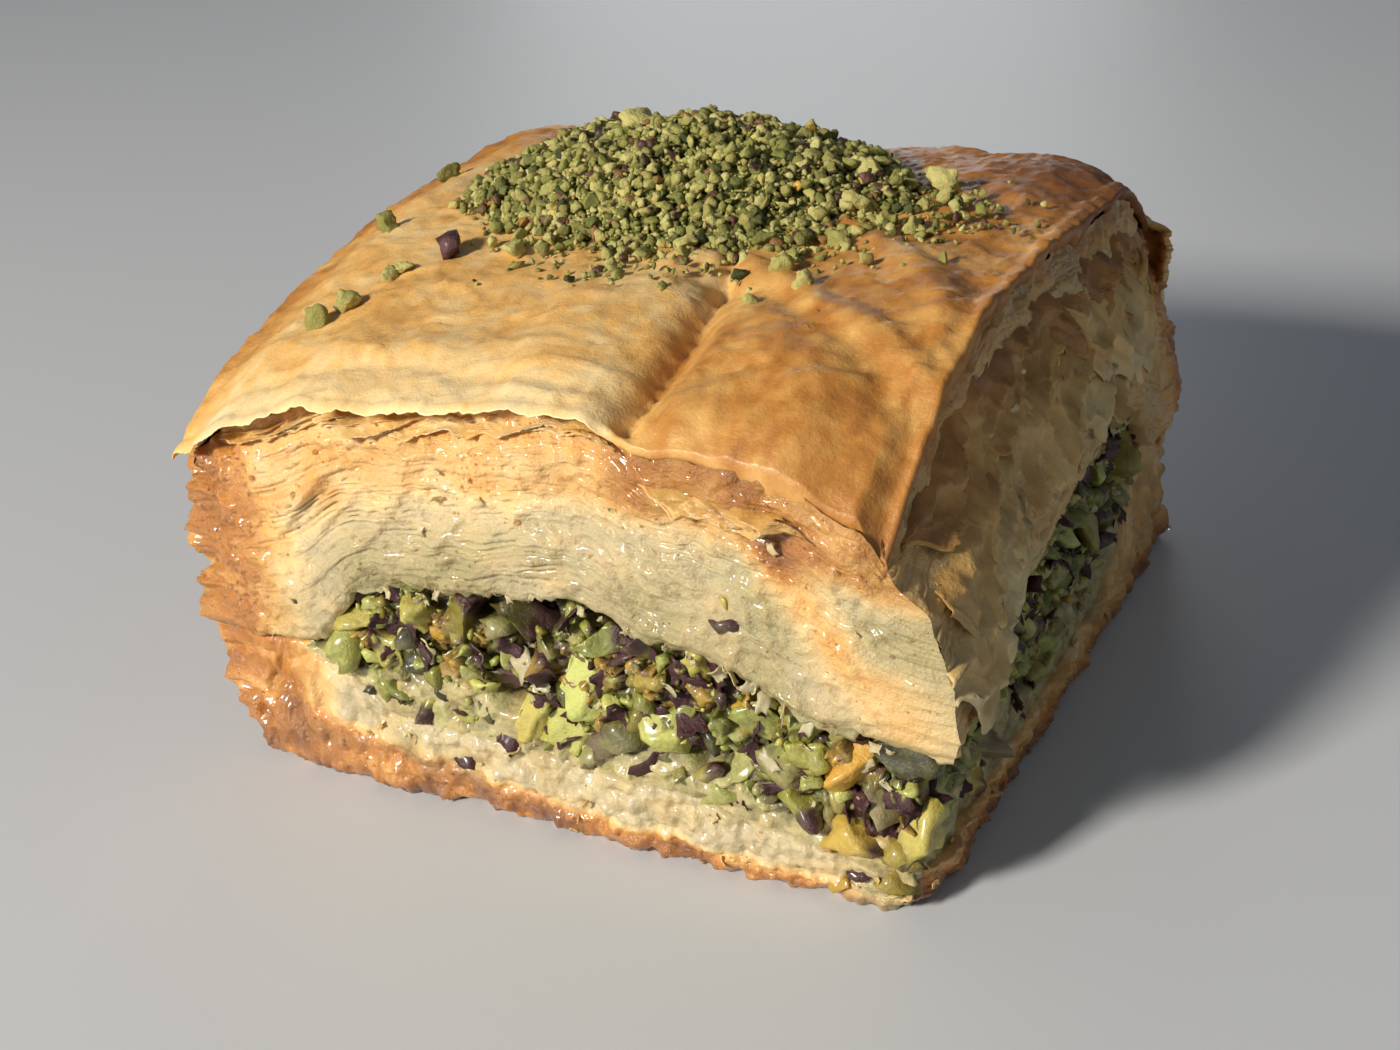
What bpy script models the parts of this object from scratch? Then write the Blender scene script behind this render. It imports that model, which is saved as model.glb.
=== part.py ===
"""A square corner piece of pistachio baklava, cut from the corner of a round-edged tray.

Two sides, front and right, are knife cuts that show the nut filling. The other two, left and back,
were baked against the tray, so the upper and lower filo stacks pinch together there and are crinkled.
Shapes are worked out in millimetres and turned into metres when each object is made.
"""

import math
import random

import bmesh
import bpy
from mathutils import Matrix, Vector, noise

METRES = 0.001
SEED = 41

# Colours
BROWNED = (0.72, 0.40, 0.13)
SYRUPY = (0.70, 0.42, 0.18)
NUT_GREEN = (0.34, 0.38, 0.06)
GROUND_NUT = (0.36, 0.45, 0.10)
SMOOTH_BELOW = 35.0

# Footprint corners, in millimetres: the piece is not quite square
FRONT_LEFT = (-31.0, -27.2)
FRONT_RIGHT = (29.4, -31.2)
BACK_RIGHT = (31.4, 31.2)
BACK_LEFT = (-32.0, 30.6)
# How far each corner is rounded in plan
ROUND_FRONT_LEFT = 1.4
ROUND_FRONT_RIGHT = 0.5
ROUND_BACK_RIGHT = 1.0
ROUND_BACK_LEFT = 3.0
CORNER_SHARPNESS = 9

# Heights
CROWN = 38.2
SHEET_GAP = 0.3
FRONT_SLOPE_REACH = 35.0
BACK_SLOPE_REACH = 14.0
SIDE_SLOPE_REACH = 8.0

# Drop of the top below the crown, along each side: (share of the side, millimetres)
FRONT_DROP = (
    (0.0, 9.6),
    (0.1, 7.4),
    (0.25, 5.0),
    (0.42, 4.0),
    (0.6, 2.8),
    (0.85, 3.6),
    (0.95, 6.0),
    (1.0, 8.6),
)
BACK_DROP = ((0.0, 3.6), (0.5, 3.2), (0.8, 4.4), (1.0, 5.2))
LEFT_DROP = ((0.0, 1.2), (0.5, 3.0), (1.0, 2.4))
RIGHT_DROP = ((0.0, 0.3), (0.5, 0.8), (0.8, 2.0), (1.0, 4.6))

# The valley that runs back from the front cut, and the swellings beside it and at the back left corner
CREASE_X = 10.0
CREASE_WIDTH = 2.2
CREASE_DEPTH = 1.5
SWELLINGS = (
    # centre, width in x and y, height
    ((1.5, -19.0), (5.0, 8.0), 0.7),
    ((17.0, -19.0), (6.0, 7.0), 0.9),
    ((-29.0, 27.0), (6.0, 6.0), 1.0),
)
LONG_RIPPLE = 0.45
SHORT_RIPPLE = 0.2

# Height of the nut layer's roof and floor along the two cut faces
ROOF_FRONT = ((0.0, 13.0), (0.17, 15.0), (0.3, 18.2), (0.58, 20.0), (0.72, 18.0), (0.9, 14.6), (1.0, 13.2))
ROOF_RIGHT = ((0.0, 13.2), (0.22, 16.6), (0.42, 18.2), (0.62, 20.6), (0.8, 18.0), (1.0, 16.0))
FLOOR_FRONT = ((0.0, 9.4), (0.17, 8.6), (0.35, 7.0), (0.65, 6.4), (0.85, 4.8), (1.0, 3.2))
FLOOR_RIGHT = ((0.0, 3.2), (0.4, 3.4), (0.62, 4.2), (0.8, 7.4), (1.0, 9.0))

# The nut layer pinches out before the two tray sides
CELLS = 20
FILLING_FIRST_CELL = 4
FILLING_LAST_CELL = 16
PINCH_CELLS = 2.5

# How far the wall stands out of the footprint at each height
LEFT_PROFILE = (
    (0.0, -3.4),
    (1.2, -0.8),
    (3.0, 0.8),
    (6.0, 1.6),
    (10.0, 2.3),
    (18.0, 3.2),
    (22.0, 2.0),
    (29.0, 0.4),
    (40.0, -0.4),
)
BACK_PROFILE = ((0.0, -1.6), (2.0, 0.2), (6.0, 1.0), (18.0, 0.4), (26.0, 0.0), (40.0, -0.4))
BASE_CUT_PROFILE = ((0.0, -0.3), (1.0, 0.3), (4.0, 0.4), (8.0, -0.2))
# The upper stack on the front and right cuts, by height above the nut layer's roof
FRONT_CUT_PROFILE = ((0.0, 0.2), (1.2, 0.8), (4.0, 0.7), (9.0, 0.3), (14.0, 0.5))
RIGHT_CUT_PROFILE = ((0.0, 1.2), (1.5, 1.8), (5.0, 1.5), (10.0, 0.3), (15.0, -1.0), (20.0, -0.8))
# The lip of the crisp top sheet on the cuts, by depth below its top
LIP_PROFILE = ((0.0, 0.2), (1.0, 0.8), (1.8, -0.4), (3.5, -0.6), (7.0, 0.0))
LIP_END = 0.66
CORNER_FLARE = 1.8
FILLING_RECESS = 2.2

# Layer ledges on the walls
TOP_ROWS = (0.07, 0.16, 0.26, 0.36, 0.46, 0.56, 0.66, 0.76, 0.86, 0.94)
BASE_ROWS = (0.1, 0.32, 0.55, 0.78)
FILLING_ROWS = 3
TRAY_LEDGE = 0.8
CUT_LEDGE = 0.62

# The heap of ground nut on the crown
HEAP_CENTRE = (-3.4, 7.4)
HEAP_RADII = (20.5, 13.5)
HEAP_HEIGHT = 4.3
HEAP_CELLS = 12
HEAP_RIM = 0.45
HEAP_GAP = 0.45
HEAP_NIBS = 62
LOOSE_NIBS = 24
FILLING_CHUNKS = 26

# Where larger loose nibs lie beside the heap: x, y and radius
PLACED_NIBS = (
    (-16.4, -8.2, 1.35),
    (-10.6, -10.2, 0.85),
    (-20.6, -16.6, 0.95),
    (-22.8, -18.2, 0.8),
    (-27.4, -3.4, 0.9),
    (4.2, -9.4, 0.9),
    (19.6, 6.8, 1.2),
    (13.8, -12.4, 0.9),
    (18.8, -4.4, 1.0),
)


def along(points, t):
    """Value at t on the smooth line through (place, value) pairs."""
    if t <= points[0][0]:
        return points[0][1]
    for (t0, a), (t1, b) in zip(points, points[1:]):
        if t <= t1:
            s = (t - t0) / (t1 - t0)
            return a + (b - a) * s * s * (3 - 2 * s)
    return points[-1][1]


def ramp(t):
    """Smooth step from 0 at t = 0 to 1 at t = 1."""
    t = min(max(t, 0.0), 1.0)
    return t * t * (3 - 2 * t)


def wave(x, y, z=0.0):
    """Smooth noise between about -1 and 1."""
    return noise.noise(Vector((x, y, z)))


def bump(x, y, centre, width, height):
    """Height at x, y of a round swelling; the width is in x and y."""
    dx = (x - centre[0]) / width[0]
    dy = (y - centre[1]) / width[1]
    return height * math.exp(-dx * dx - dy * dy)


def plan(u, v):
    """Footprint point: u runs from left to right, v from front to back, corners rounded."""
    front = Vector(FRONT_LEFT).lerp(Vector(FRONT_RIGHT), u)
    back = Vector(BACK_LEFT).lerp(Vector(BACK_RIGHT), u)
    x, y = front.lerp(back, v)
    a = 2 * u - 1
    b = 2 * v - 1
    near_corner = abs(a * b) ** CORNER_SHARPNESS
    left = ROUND_FRONT_LEFT * (1 - v) + ROUND_BACK_LEFT * v
    right = ROUND_FRONT_RIGHT * (1 - v) + ROUND_BACK_RIGHT * v
    pull = (left * (1 - u) + right * u) * near_corner
    return x - math.copysign(pull, a), y - math.copysign(pull, b)


def slope(distance, reach, power=1.5):
    """Share of a side's drop that is felt at this distance from the side."""
    return max(0.0, 1 - distance / reach) ** power


def top_height(u, v):
    """Height of the domed, creased top sheet."""
    x, y = plan(u, v)
    width = FRONT_RIGHT[0] - FRONT_LEFT[0]
    depth = BACK_RIGHT[1] - FRONT_RIGHT[1]
    z = CROWN
    corner_reach = FRONT_SLOPE_REACH * (1 - 0.45 * ramp((u - 0.55) / 0.4))
    z -= along(FRONT_DROP, u) * slope(v * depth, corner_reach)
    z -= along(BACK_DROP, u) * slope((1 - v) * depth, BACK_SLOPE_REACH)
    z -= along(LEFT_DROP, v) * slope(u * width, SIDE_SLOPE_REACH)
    z -= along(RIGHT_DROP, v) * slope((1 - u) * width, SIDE_SLOPE_REACH)
    in_front = ramp((-2.0 - y) / 14.0)
    z -= CREASE_DEPTH * in_front * math.exp(-(((x - CREASE_X) / CREASE_WIDTH) ** 2))
    for centre_at, width_xy, height in SWELLINGS:
        z += bump(x, y, centre_at, width_xy, height)
    z += LONG_RIPPLE * wave(x * 0.11, y * 0.11, 3.0) + SHORT_RIPPLE * wave(x * 0.3, y * 0.3, 8.0)
    return z


def opened(u, v):
    """How far the nut layer has opened: 0 at the tray sides, 1 inside and at the cuts."""
    cells = PINCH_CELLS / CELLS
    from_left = (u - (FILLING_FIRST_CELL - 1) / CELLS) / cells
    from_back = ((FILLING_LAST_CELL + 1) / CELLS - v) / cells
    return ramp(from_left) * ramp(from_back)


def nut_layer(u, v):
    """(floor, roof) of the nut layer, the same height where it has pinched out."""
    roof = along(ROOF_FRONT, u) + u * (along(ROOF_RIGHT, v) - ROOF_RIGHT[0][1])
    floor = along(FLOOR_FRONT, u) + u * (along(FLOOR_RIGHT, v) - FLOOR_RIGHT[0][1])
    middle = (roof + floor) / 2
    share = opened(u, v)
    return middle - (middle - floor) * share, middle + (roof - middle) * share


def sliced_box(cuts_x, cuts_y, cuts_z):
    """A unit cube from 0 to 1, sliced at these shares along each axis."""
    bm = bmesh.new()
    bmesh.ops.create_cube(bm, size=1.0)
    bmesh.ops.translate(bm, verts=bm.verts, vec=(0.5, 0.5, 0.5))
    for axis, cuts in enumerate((cuts_x, cuts_y, cuts_z)):
        normal = Vector((0, 0, 0))
        normal[axis] = 1.0
        for cut in cuts:
            everything = bm.verts[:] + bm.edges[:] + bm.faces[:]
            bmesh.ops.bisect_plane(bm, geom=everything, dist=1e-6, plane_co=normal * cut, plane_no=normal)
    return bm


def even_cuts(count):
    """Shares that slice a unit length into this many equal cells."""
    return [i / count for i in range(1, count)]


def finish(bm, name, colour, roughness):
    """Makes a named object of the mesh, in metres, with its material."""
    bmesh.ops.recalc_face_normals(bm, faces=bm.faces)
    bmesh.ops.triangulate(bm, faces=bm.faces)
    bmesh.ops.scale(bm, vec=(METRES, METRES, METRES), verts=bm.verts)
    mesh = bpy.data.meshes.new(name)
    bm.to_mesh(mesh)
    bm.free()
    mesh.shade_smooth()
    mesh.set_sharp_from_angle(angle=math.radians(SMOOTH_BELOW))
    obj = bpy.data.objects.new(name, mesh)
    material = bpy.data.materials.new(name)
    material.use_nodes = True
    shader = material.node_tree.nodes["Principled BSDF"]
    shader.inputs["Base Color"].default_value = (*colour, 1.0)
    shader.inputs["Roughness"].default_value = roughness
    shader.inputs["Metallic"].default_value = 0.0
    mesh.materials.append(material)
    return obj


def wall_sides(u, v):
    """The outward unit steps, in plan, of the walls that a point of the footprint lies on."""
    edge = 1e-4
    sides = []
    if u < edge:
        sides.append(("left", Vector((-1, 0))))
    if u > 1 - edge:
        sides.append(("right", Vector((1, 0))))
    if v < edge:
        sides.append(("front", Vector((0, -1))))
    if v > 1 - edge:
        sides.append(("back", Vector((0, 1))))
    return sides


def ledge(side, x, y, w):
    """In-and-out of one layer's edge along a wall, at the layer's share of the stack's height."""
    run = y if side in ("left", "right") else x
    size = TRAY_LEDGE if side in ("left", "back") else CUT_LEDGE
    layer = w * 40.0
    return size * (1.6 * wave(run * 0.16, layer, 1.0) + 1.0 * wave(run * 0.5, layer * 1.7, 4.0))


def tray_wall(side, z):
    """Stand-out of the two walls that were baked against the tray."""
    return along(LEFT_PROFILE if side == "left" else BACK_PROFILE, z)


def top_stands_out(side, u, v, z):
    """Wall shift of the upper stack."""
    if side in ("left", "back"):
        return tray_wall(side, z)
    above_roof = z - nut_layer(u, v)[1]
    lip = along(LIP_PROFILE, top_height(u, v) - z)
    if side == "front":
        return along(FRONT_CUT_PROFILE, above_roof) + lip * ramp((LIP_END - u) / 0.08)
    flare = CORNER_FLARE * slope(v, 0.3) * ramp((13.0 - above_roof) / 3.0)
    return along(RIGHT_CUT_PROFILE, above_roof) + flare + lip


def base_stands_out(side, u, v, z):
    """Wall shift of the lower stack."""
    return tray_wall(side, z) if side in ("left", "back") else along(BASE_CUT_PROFILE, z)


def shape_stack(bm, height_at, stands_out):
    """Moves a sliced unit box into a stack of layers between two height surfaces."""
    for vert in bm.verts:
        u, v, w = vert.co
        x, y = plan(u, v)
        z = height_at(u, v, w)
        shift = Vector((0, 0))
        for side, outward in wall_sides(u, v):
            shift += outward * (stands_out(side, u, v, z) + ledge(side, x, y, w))
        vert.co = (x + shift.x, y + shift.y, z)


def make_upper_stack():
    """The upper filo stack: domed top sheet, flaky walls, underside on the nut layer."""
    bm = sliced_box(even_cuts(CELLS), even_cuts(CELLS), TOP_ROWS)

    def height_at(u, v, w):
        low = nut_layer(u, v)[1] + SHEET_GAP / 2
        return low + (top_height(u, v) - low) * w

    shape_stack(bm, height_at, top_stands_out)
    return bm


def make_lower_stack():
    """The lower filo stack, flat below, with its top under the nut layer."""
    bm = sliced_box(even_cuts(CELLS), even_cuts(CELLS), BASE_ROWS)

    def height_at(u, v, w):
        return (nut_layer(u, v)[0] - SHEET_GAP / 2) * w

    shape_stack(bm, height_at, base_stands_out)
    return bm


def filling_share(u, v):
    """Place in the footprint of a point of the nut layer's own unit square."""
    first = FILLING_FIRST_CELL / CELLS
    last = FILLING_LAST_CELL / CELLS
    return first + (1 - first) * u, last * v


def make_filling():
    """The nut layer, set back from both cuts; its faces are broken up by chunks."""
    across = even_cuts(CELLS - FILLING_FIRST_CELL)
    bm = sliced_box(across, even_cuts(FILLING_LAST_CELL), even_cuts(FILLING_ROWS))
    for vert in bm.verts:
        own_u, own_v, w = vert.co
        u, v = filling_share(own_u, own_v)
        x, y = plan(u, v)
        floor, roof = nut_layer(u, v)
        shift = Vector((0, 0))
        for side, outward in wall_sides(u, v):
            rough = 1.0 * wave(x * 0.35, y * 0.35, w * 3.0)
            shift += outward * (rough - FILLING_RECESS + 0.9 * (1 - w))
        on_cut = 0.25 if wall_sides(u, v) else 0.0
        low = floor + SHEET_GAP / 2 + on_cut
        high = roof - SHEET_GAP / 2 - on_cut
        vert.co = (x + shift.x, y + shift.y, low + (high - low) * w)
    return bm


def nib(place, radius, rng, flat=1.0):
    """A broken piece of nut: an uneven, angular lump."""
    bm = bmesh.new()
    bmesh.ops.create_icosphere(bm, subdivisions=1, radius=radius)
    stretch = Vector((rng.uniform(0.75, 1.3), rng.uniform(0.75, 1.1), rng.uniform(0.7, 1.0) * flat))
    for vert in bm.verts:
        vert.co = Vector((vert.co.x * stretch.x, vert.co.y * stretch.y, vert.co.z * stretch.z))
        vert.co *= rng.uniform(0.82, 1.12)
    turn = rng.uniform(0, math.tau)
    bmesh.ops.rotate(bm, verts=bm.verts, cent=(0, 0, 0), matrix=Matrix.Rotation(turn, 3, "Z"))
    bmesh.ops.translate(bm, verts=bm.verts, vec=place)
    return bm


def surface_share(x, y):
    """The u and v whose footprint point is at x, y."""
    u, v = 0.5, 0.5
    for _ in range(12):
        px, py = plan(u, v)
        u += (x - px) / (FRONT_RIGHT[0] - FRONT_LEFT[0])
        v += (y - py) / (BACK_RIGHT[1] - FRONT_RIGHT[1])
    return u, v


def top_at(x, y):
    """Height of the top sheet over a point in millimetres."""
    return top_height(*surface_share(x, y))


def highest_under(x, y, radius):
    """Highest point of the top sheet within this distance of x, y."""
    steps = ((0, 0), (1, 0), (-1, 0), (0, 1), (0, -1))
    return max(top_at(x + radius * dx, y + radius * dy) for dx, dy in steps)


def heap_reach(angle):
    """Uneven outline of the heap, as a share of its radii."""
    return 1 + 0.13 * wave(math.cos(angle) * 1.6, math.sin(angle) * 1.6, 5.0)


def heap_point(a, b):
    """Point of the heap's plan from square coordinates between -1 and 1."""
    dx = a * math.sqrt(1 - b * b / 2)
    dy = b * math.sqrt(1 - a * a / 2)
    reach = heap_reach(math.atan2(dy, dx))
    x = HEAP_CENTRE[0] + HEAP_RADII[0] * dx * reach
    y = HEAP_CENTRE[1] + HEAP_RADII[1] * dy * reach
    return x, y, min(1.0, math.hypot(dx, dy))


def heap_rise(x, y, radial):
    """Thickness of the heap at this point."""
    dome = (1 - radial**2.2) ** 0.9
    return HEAP_RIM + (HEAP_HEIGHT - HEAP_RIM) * dome * (1 + 0.16 * wave(x * 0.3, y * 0.3, 2.0))


def make_heap():
    """Core of the heap of ground nut, lying on the top sheet."""
    bm = sliced_box(even_cuts(HEAP_CELLS), even_cuts(HEAP_CELLS), [])
    for vert in bm.verts:
        a = 2 * vert.co.x - 1
        b = 2 * vert.co.y - 1
        w = vert.co.z
        x, y, radial = heap_point(a, b)
        vert.co = (x, y, top_at(x, y) + HEAP_GAP + w * heap_rise(x, y, radial))
    return bm


def heap_nibs(rng):
    """Nibs fused on the heap, spread evenly by a sunflower rule."""
    golden = math.pi * (3 - math.sqrt(5))
    found = []
    for i in range(HEAP_NIBS):
        radial = math.sqrt((i + 0.5) / HEAP_NIBS) * 0.97
        angle = i * golden
        reach = heap_reach(angle)
        x = HEAP_CENTRE[0] + HEAP_RADII[0] * radial * math.cos(angle) * reach
        y = HEAP_CENTRE[1] + HEAP_RADII[1] * radial * math.sin(angle) * reach
        radius = rng.uniform(0.9, 1.7)
        sunk = top_at(x, y) + HEAP_GAP + heap_rise(x, y, radial) - 0.1 * radius
        lowest = highest_under(x, y, radius) + HEAP_GAP + 1.12 * radius
        found.append(nib((x, y, max(sunk, lowest)), radius, rng))
    return found


def loose_nibs(rng):
    """Nibs scattered on the top sheet round the heap, pressed a little into it."""
    places = list(PLACED_NIBS)
    while len(places) < len(PLACED_NIBS) + LOOSE_NIBS:
        angle = rng.uniform(0, math.tau)
        out = rng.uniform(1.22, 1.6)
        x = HEAP_CENTRE[0] + HEAP_RADII[0] * out * math.cos(angle)
        y = HEAP_CENTRE[1] + HEAP_RADII[1] * out * math.sin(angle)
        radius = rng.uniform(0.5, 0.85)
        u, v = surface_share(x, y)
        inside = 0.06 < u < 0.94 and 0.06 < v < 0.94
        if inside and all(math.dist((x, y), p[:2]) > radius + p[2] + 0.6 for p in places):
            places.append((x, y, radius))
    return [nib((x, y, top_at(x, y) + 0.35 * radius), radius, rng) for x, y, radius in places]


def filling_chunks(rng):
    """Chopped nuts that stand out of the filling on its two cut faces."""
    found = []
    for i in range(FILLING_CHUNKS):
        on_front = i % 2 == 0
        share = (i // 2 + rng.uniform(0.25, 0.75)) / (FILLING_CHUNKS / 2)
        own = (share, 0.0) if on_front else (1.0, share)
        u, v = filling_share(*own)
        x, y = plan(u, v)
        floor, roof = nut_layer(u, v)
        radius = min(rng.uniform(1.5, 2.5), (roof - floor) * 0.28)
        room = roof - floor - 2.5 * radius - 1.0
        z = floor + 1.25 * radius + 0.5 + max(room, 0.0) * rng.random()
        back = FILLING_RECESS - 0.2 * radius
        if on_front:
            place = (x, y + back, z)
        else:
            place = (x - back, y, z)
        found.append(nib(place, radius, rng))
    return found


def fuse(core, pieces):
    """Joins loose pieces to the core with one union, then removes them."""
    bpy.context.scene.collection.objects.link(core)
    holder = bpy.data.collections.new(core.name + "_pieces")
    bpy.context.scene.collection.children.link(holder)
    for i, bm in enumerate(pieces):
        piece = finish(bm, f"{core.name}_piece_{i}", NUT_GREEN, 0.5)
        holder.objects.link(piece)
    union = core.modifiers.new("pieces", "BOOLEAN")
    union.operation = "UNION"
    union.operand_type = "COLLECTION"
    union.collection = holder
    union.solver = "MANIFOLD"
    graph = bpy.context.evaluated_depsgraph_get()
    fused = bpy.data.meshes.new_from_object(core.evaluated_get(graph))
    core.modifiers.clear()
    core.data = fused
    for piece in list(holder.objects):
        bpy.data.objects.remove(piece)
    bpy.data.collections.remove(holder)
    bpy.context.scene.collection.objects.unlink(core)


def centre(objects):
    """Moves the meshes together so that their common box stands centred on the origin, on z = 0."""
    points = [vert.co for obj in objects for vert in obj.data.vertices]
    low = [min(point[axis] for point in points) for axis in range(3)]
    high = [max(point[axis] for point in points) for axis in range(3)]
    step = Vector((-(low[0] + high[0]) / 2, -(low[1] + high[1]) / 2, -low[2]))
    for obj in objects:
        obj.data.transform(Matrix.Translation(step))


def main():
    for obj in list(bpy.data.objects):
        bpy.data.objects.remove(obj)
    rng = random.Random(SEED)
    top = finish(make_upper_stack(), "filo_top", BROWNED, 0.38)
    fuse(top, loose_nibs(rng))
    filling = finish(make_filling(), "pistachio_filling", NUT_GREEN, 0.45)
    fuse(filling, filling_chunks(rng))
    heap = finish(make_heap(), "pistachio_topping", GROUND_NUT, 0.7)
    fuse(heap, heap_nibs(rng))
    base = finish(make_lower_stack(), "filo_base", SYRUPY, 0.35)
    parts = (base, filling, top, heap)
    centre(parts)
    baklava = bpy.data.collections.new("baklava")
    bpy.context.scene.collection.children.link(baklava)
    for obj in parts:
        baklava.objects.link(obj)


main()
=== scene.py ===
import logging
import math
import random
from collections.abc import Callable, Iterable, Sequence
from dataclasses import dataclass, field
from enum import Enum

import bmesh
import bpy
import numpy as np
from mathutils import Matrix, Vector, noise

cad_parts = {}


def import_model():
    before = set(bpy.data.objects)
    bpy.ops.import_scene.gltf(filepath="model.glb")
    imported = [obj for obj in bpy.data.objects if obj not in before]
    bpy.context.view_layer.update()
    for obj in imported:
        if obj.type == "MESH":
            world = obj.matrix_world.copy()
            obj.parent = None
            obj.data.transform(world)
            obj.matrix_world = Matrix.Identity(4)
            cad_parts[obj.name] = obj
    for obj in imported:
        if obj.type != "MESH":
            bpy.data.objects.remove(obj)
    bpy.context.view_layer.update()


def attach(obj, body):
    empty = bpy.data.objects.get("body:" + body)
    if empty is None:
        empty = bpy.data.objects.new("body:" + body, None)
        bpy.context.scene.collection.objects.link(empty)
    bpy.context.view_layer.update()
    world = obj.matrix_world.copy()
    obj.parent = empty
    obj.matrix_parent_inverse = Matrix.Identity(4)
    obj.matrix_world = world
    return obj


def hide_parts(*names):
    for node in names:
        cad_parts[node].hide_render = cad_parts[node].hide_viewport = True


log = logging.getLogger("baklava")

MM = 0.001

Curve = tuple[tuple[float, float], ...]
Colour = tuple[float, float, float]
Marks = dict[str, float]
Placing = Callable[[int, int], tuple[Vector, Marks]]
Piece = bpy.types.Object
Material = bpy.types.Material
Socket = bpy.types.NodeSocket

# pit is painted shade in the grooves between the layers.
FILO_MARKS = ("bake", "soak", "tone", "pit", "level", "wet")
NUT_MARKS = ("tone", "skin", "gold", "mush")


def along(points: Curve, t: float) -> float:
    """Value at t on the smooth line through (place, value) pairs.

    Args:
        points: The pairs, in rising order of place.
        t: The place asked for.

    Returns:
        The eased value, held level beyond either end.
    """
    if t <= points[0][0]:
        return points[0][1]
    for (t0, a), (t1, b) in zip(points, points[1:]):
        if t <= t1:
            s = (t - t0) / (t1 - t0)
            return a + (b - a) * s * s * (3 - 2 * s)
    return points[-1][1]


def unit(t: float) -> float:
    """The number held between 0 and 1."""
    return min(max(t, 0.0), 1.0)


def ramp(t: float) -> float:
    """Smooth step from 0 at t = 0 to 1 at t = 1."""
    t = unit(t)
    return t * t * (3 - 2 * t)


def wave(x: float, y: float, z: float = 0.0) -> float:
    """Smooth noise between about -1 and 1."""
    return noise.noise((x, y, z))


def wave_at(place: "Vector | Station", scale: float, z: float = 0.0) -> float:
    """Smooth noise over the plan of a place, at this scale."""
    return noise.noise((place.x * scale, place.y * scale, z))


def bump(x: float, y: float, centre: Sequence[float], width: Sequence[float], height: float) -> float:
    """Height at x, y of a round swelling of this centre, width in x and y, and height."""
    dx = (x - centre[0]) / width[0]
    dy = (y - centre[1]) / width[1]
    return height * math.exp(-dx * dx - dy * dy)


def sheet_marks(bake: float, soak: float, tone: float, wet: float) -> Marks:
    """Marks of filo that shows no layer lines."""
    return dict.fromkeys(FILO_MARKS, 0.0) | {"bake": unit(bake), "soak": soak, "tone": tone, "wet": wet}


class Side(Enum):
    """A wall of the piece: its outward step, and whether it was baked against the tray."""

    FRONT = ((0, -1), False)
    RIGHT = ((1, 0), False)
    BACK = ((0, 1), True)
    LEFT = ((-1, 0), True)

    @property
    def outward(self) -> Vector:
        """Outward step in plan."""
        return Vector(self.value[0])

    @property
    def tray(self) -> bool:
        """Whether this side was baked against the tray."""
        return self.value[1]

    @property
    def before(self) -> "Side":
        """The wall that meets this one where its share is 0."""
        order = list(Side)
        return order[order.index(self) - 1]

    @property
    def after(self) -> "Side":
        """The wall that meets this one where its share is 1."""
        order = list(Side)
        return order[(order.index(self) + 1) % 4]

    def place(self, share: float) -> tuple[float, float]:
        """Footprint coordinates u, v at this share of the wall, counted anticlockwise from above."""
        return {
            Side.FRONT: (share, 0.0),
            Side.RIGHT: (1.0, share),
            Side.BACK: (1.0 - share, 1.0),
            Side.LEFT: (0.0, 1.0 - share),
        }[self]


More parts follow.
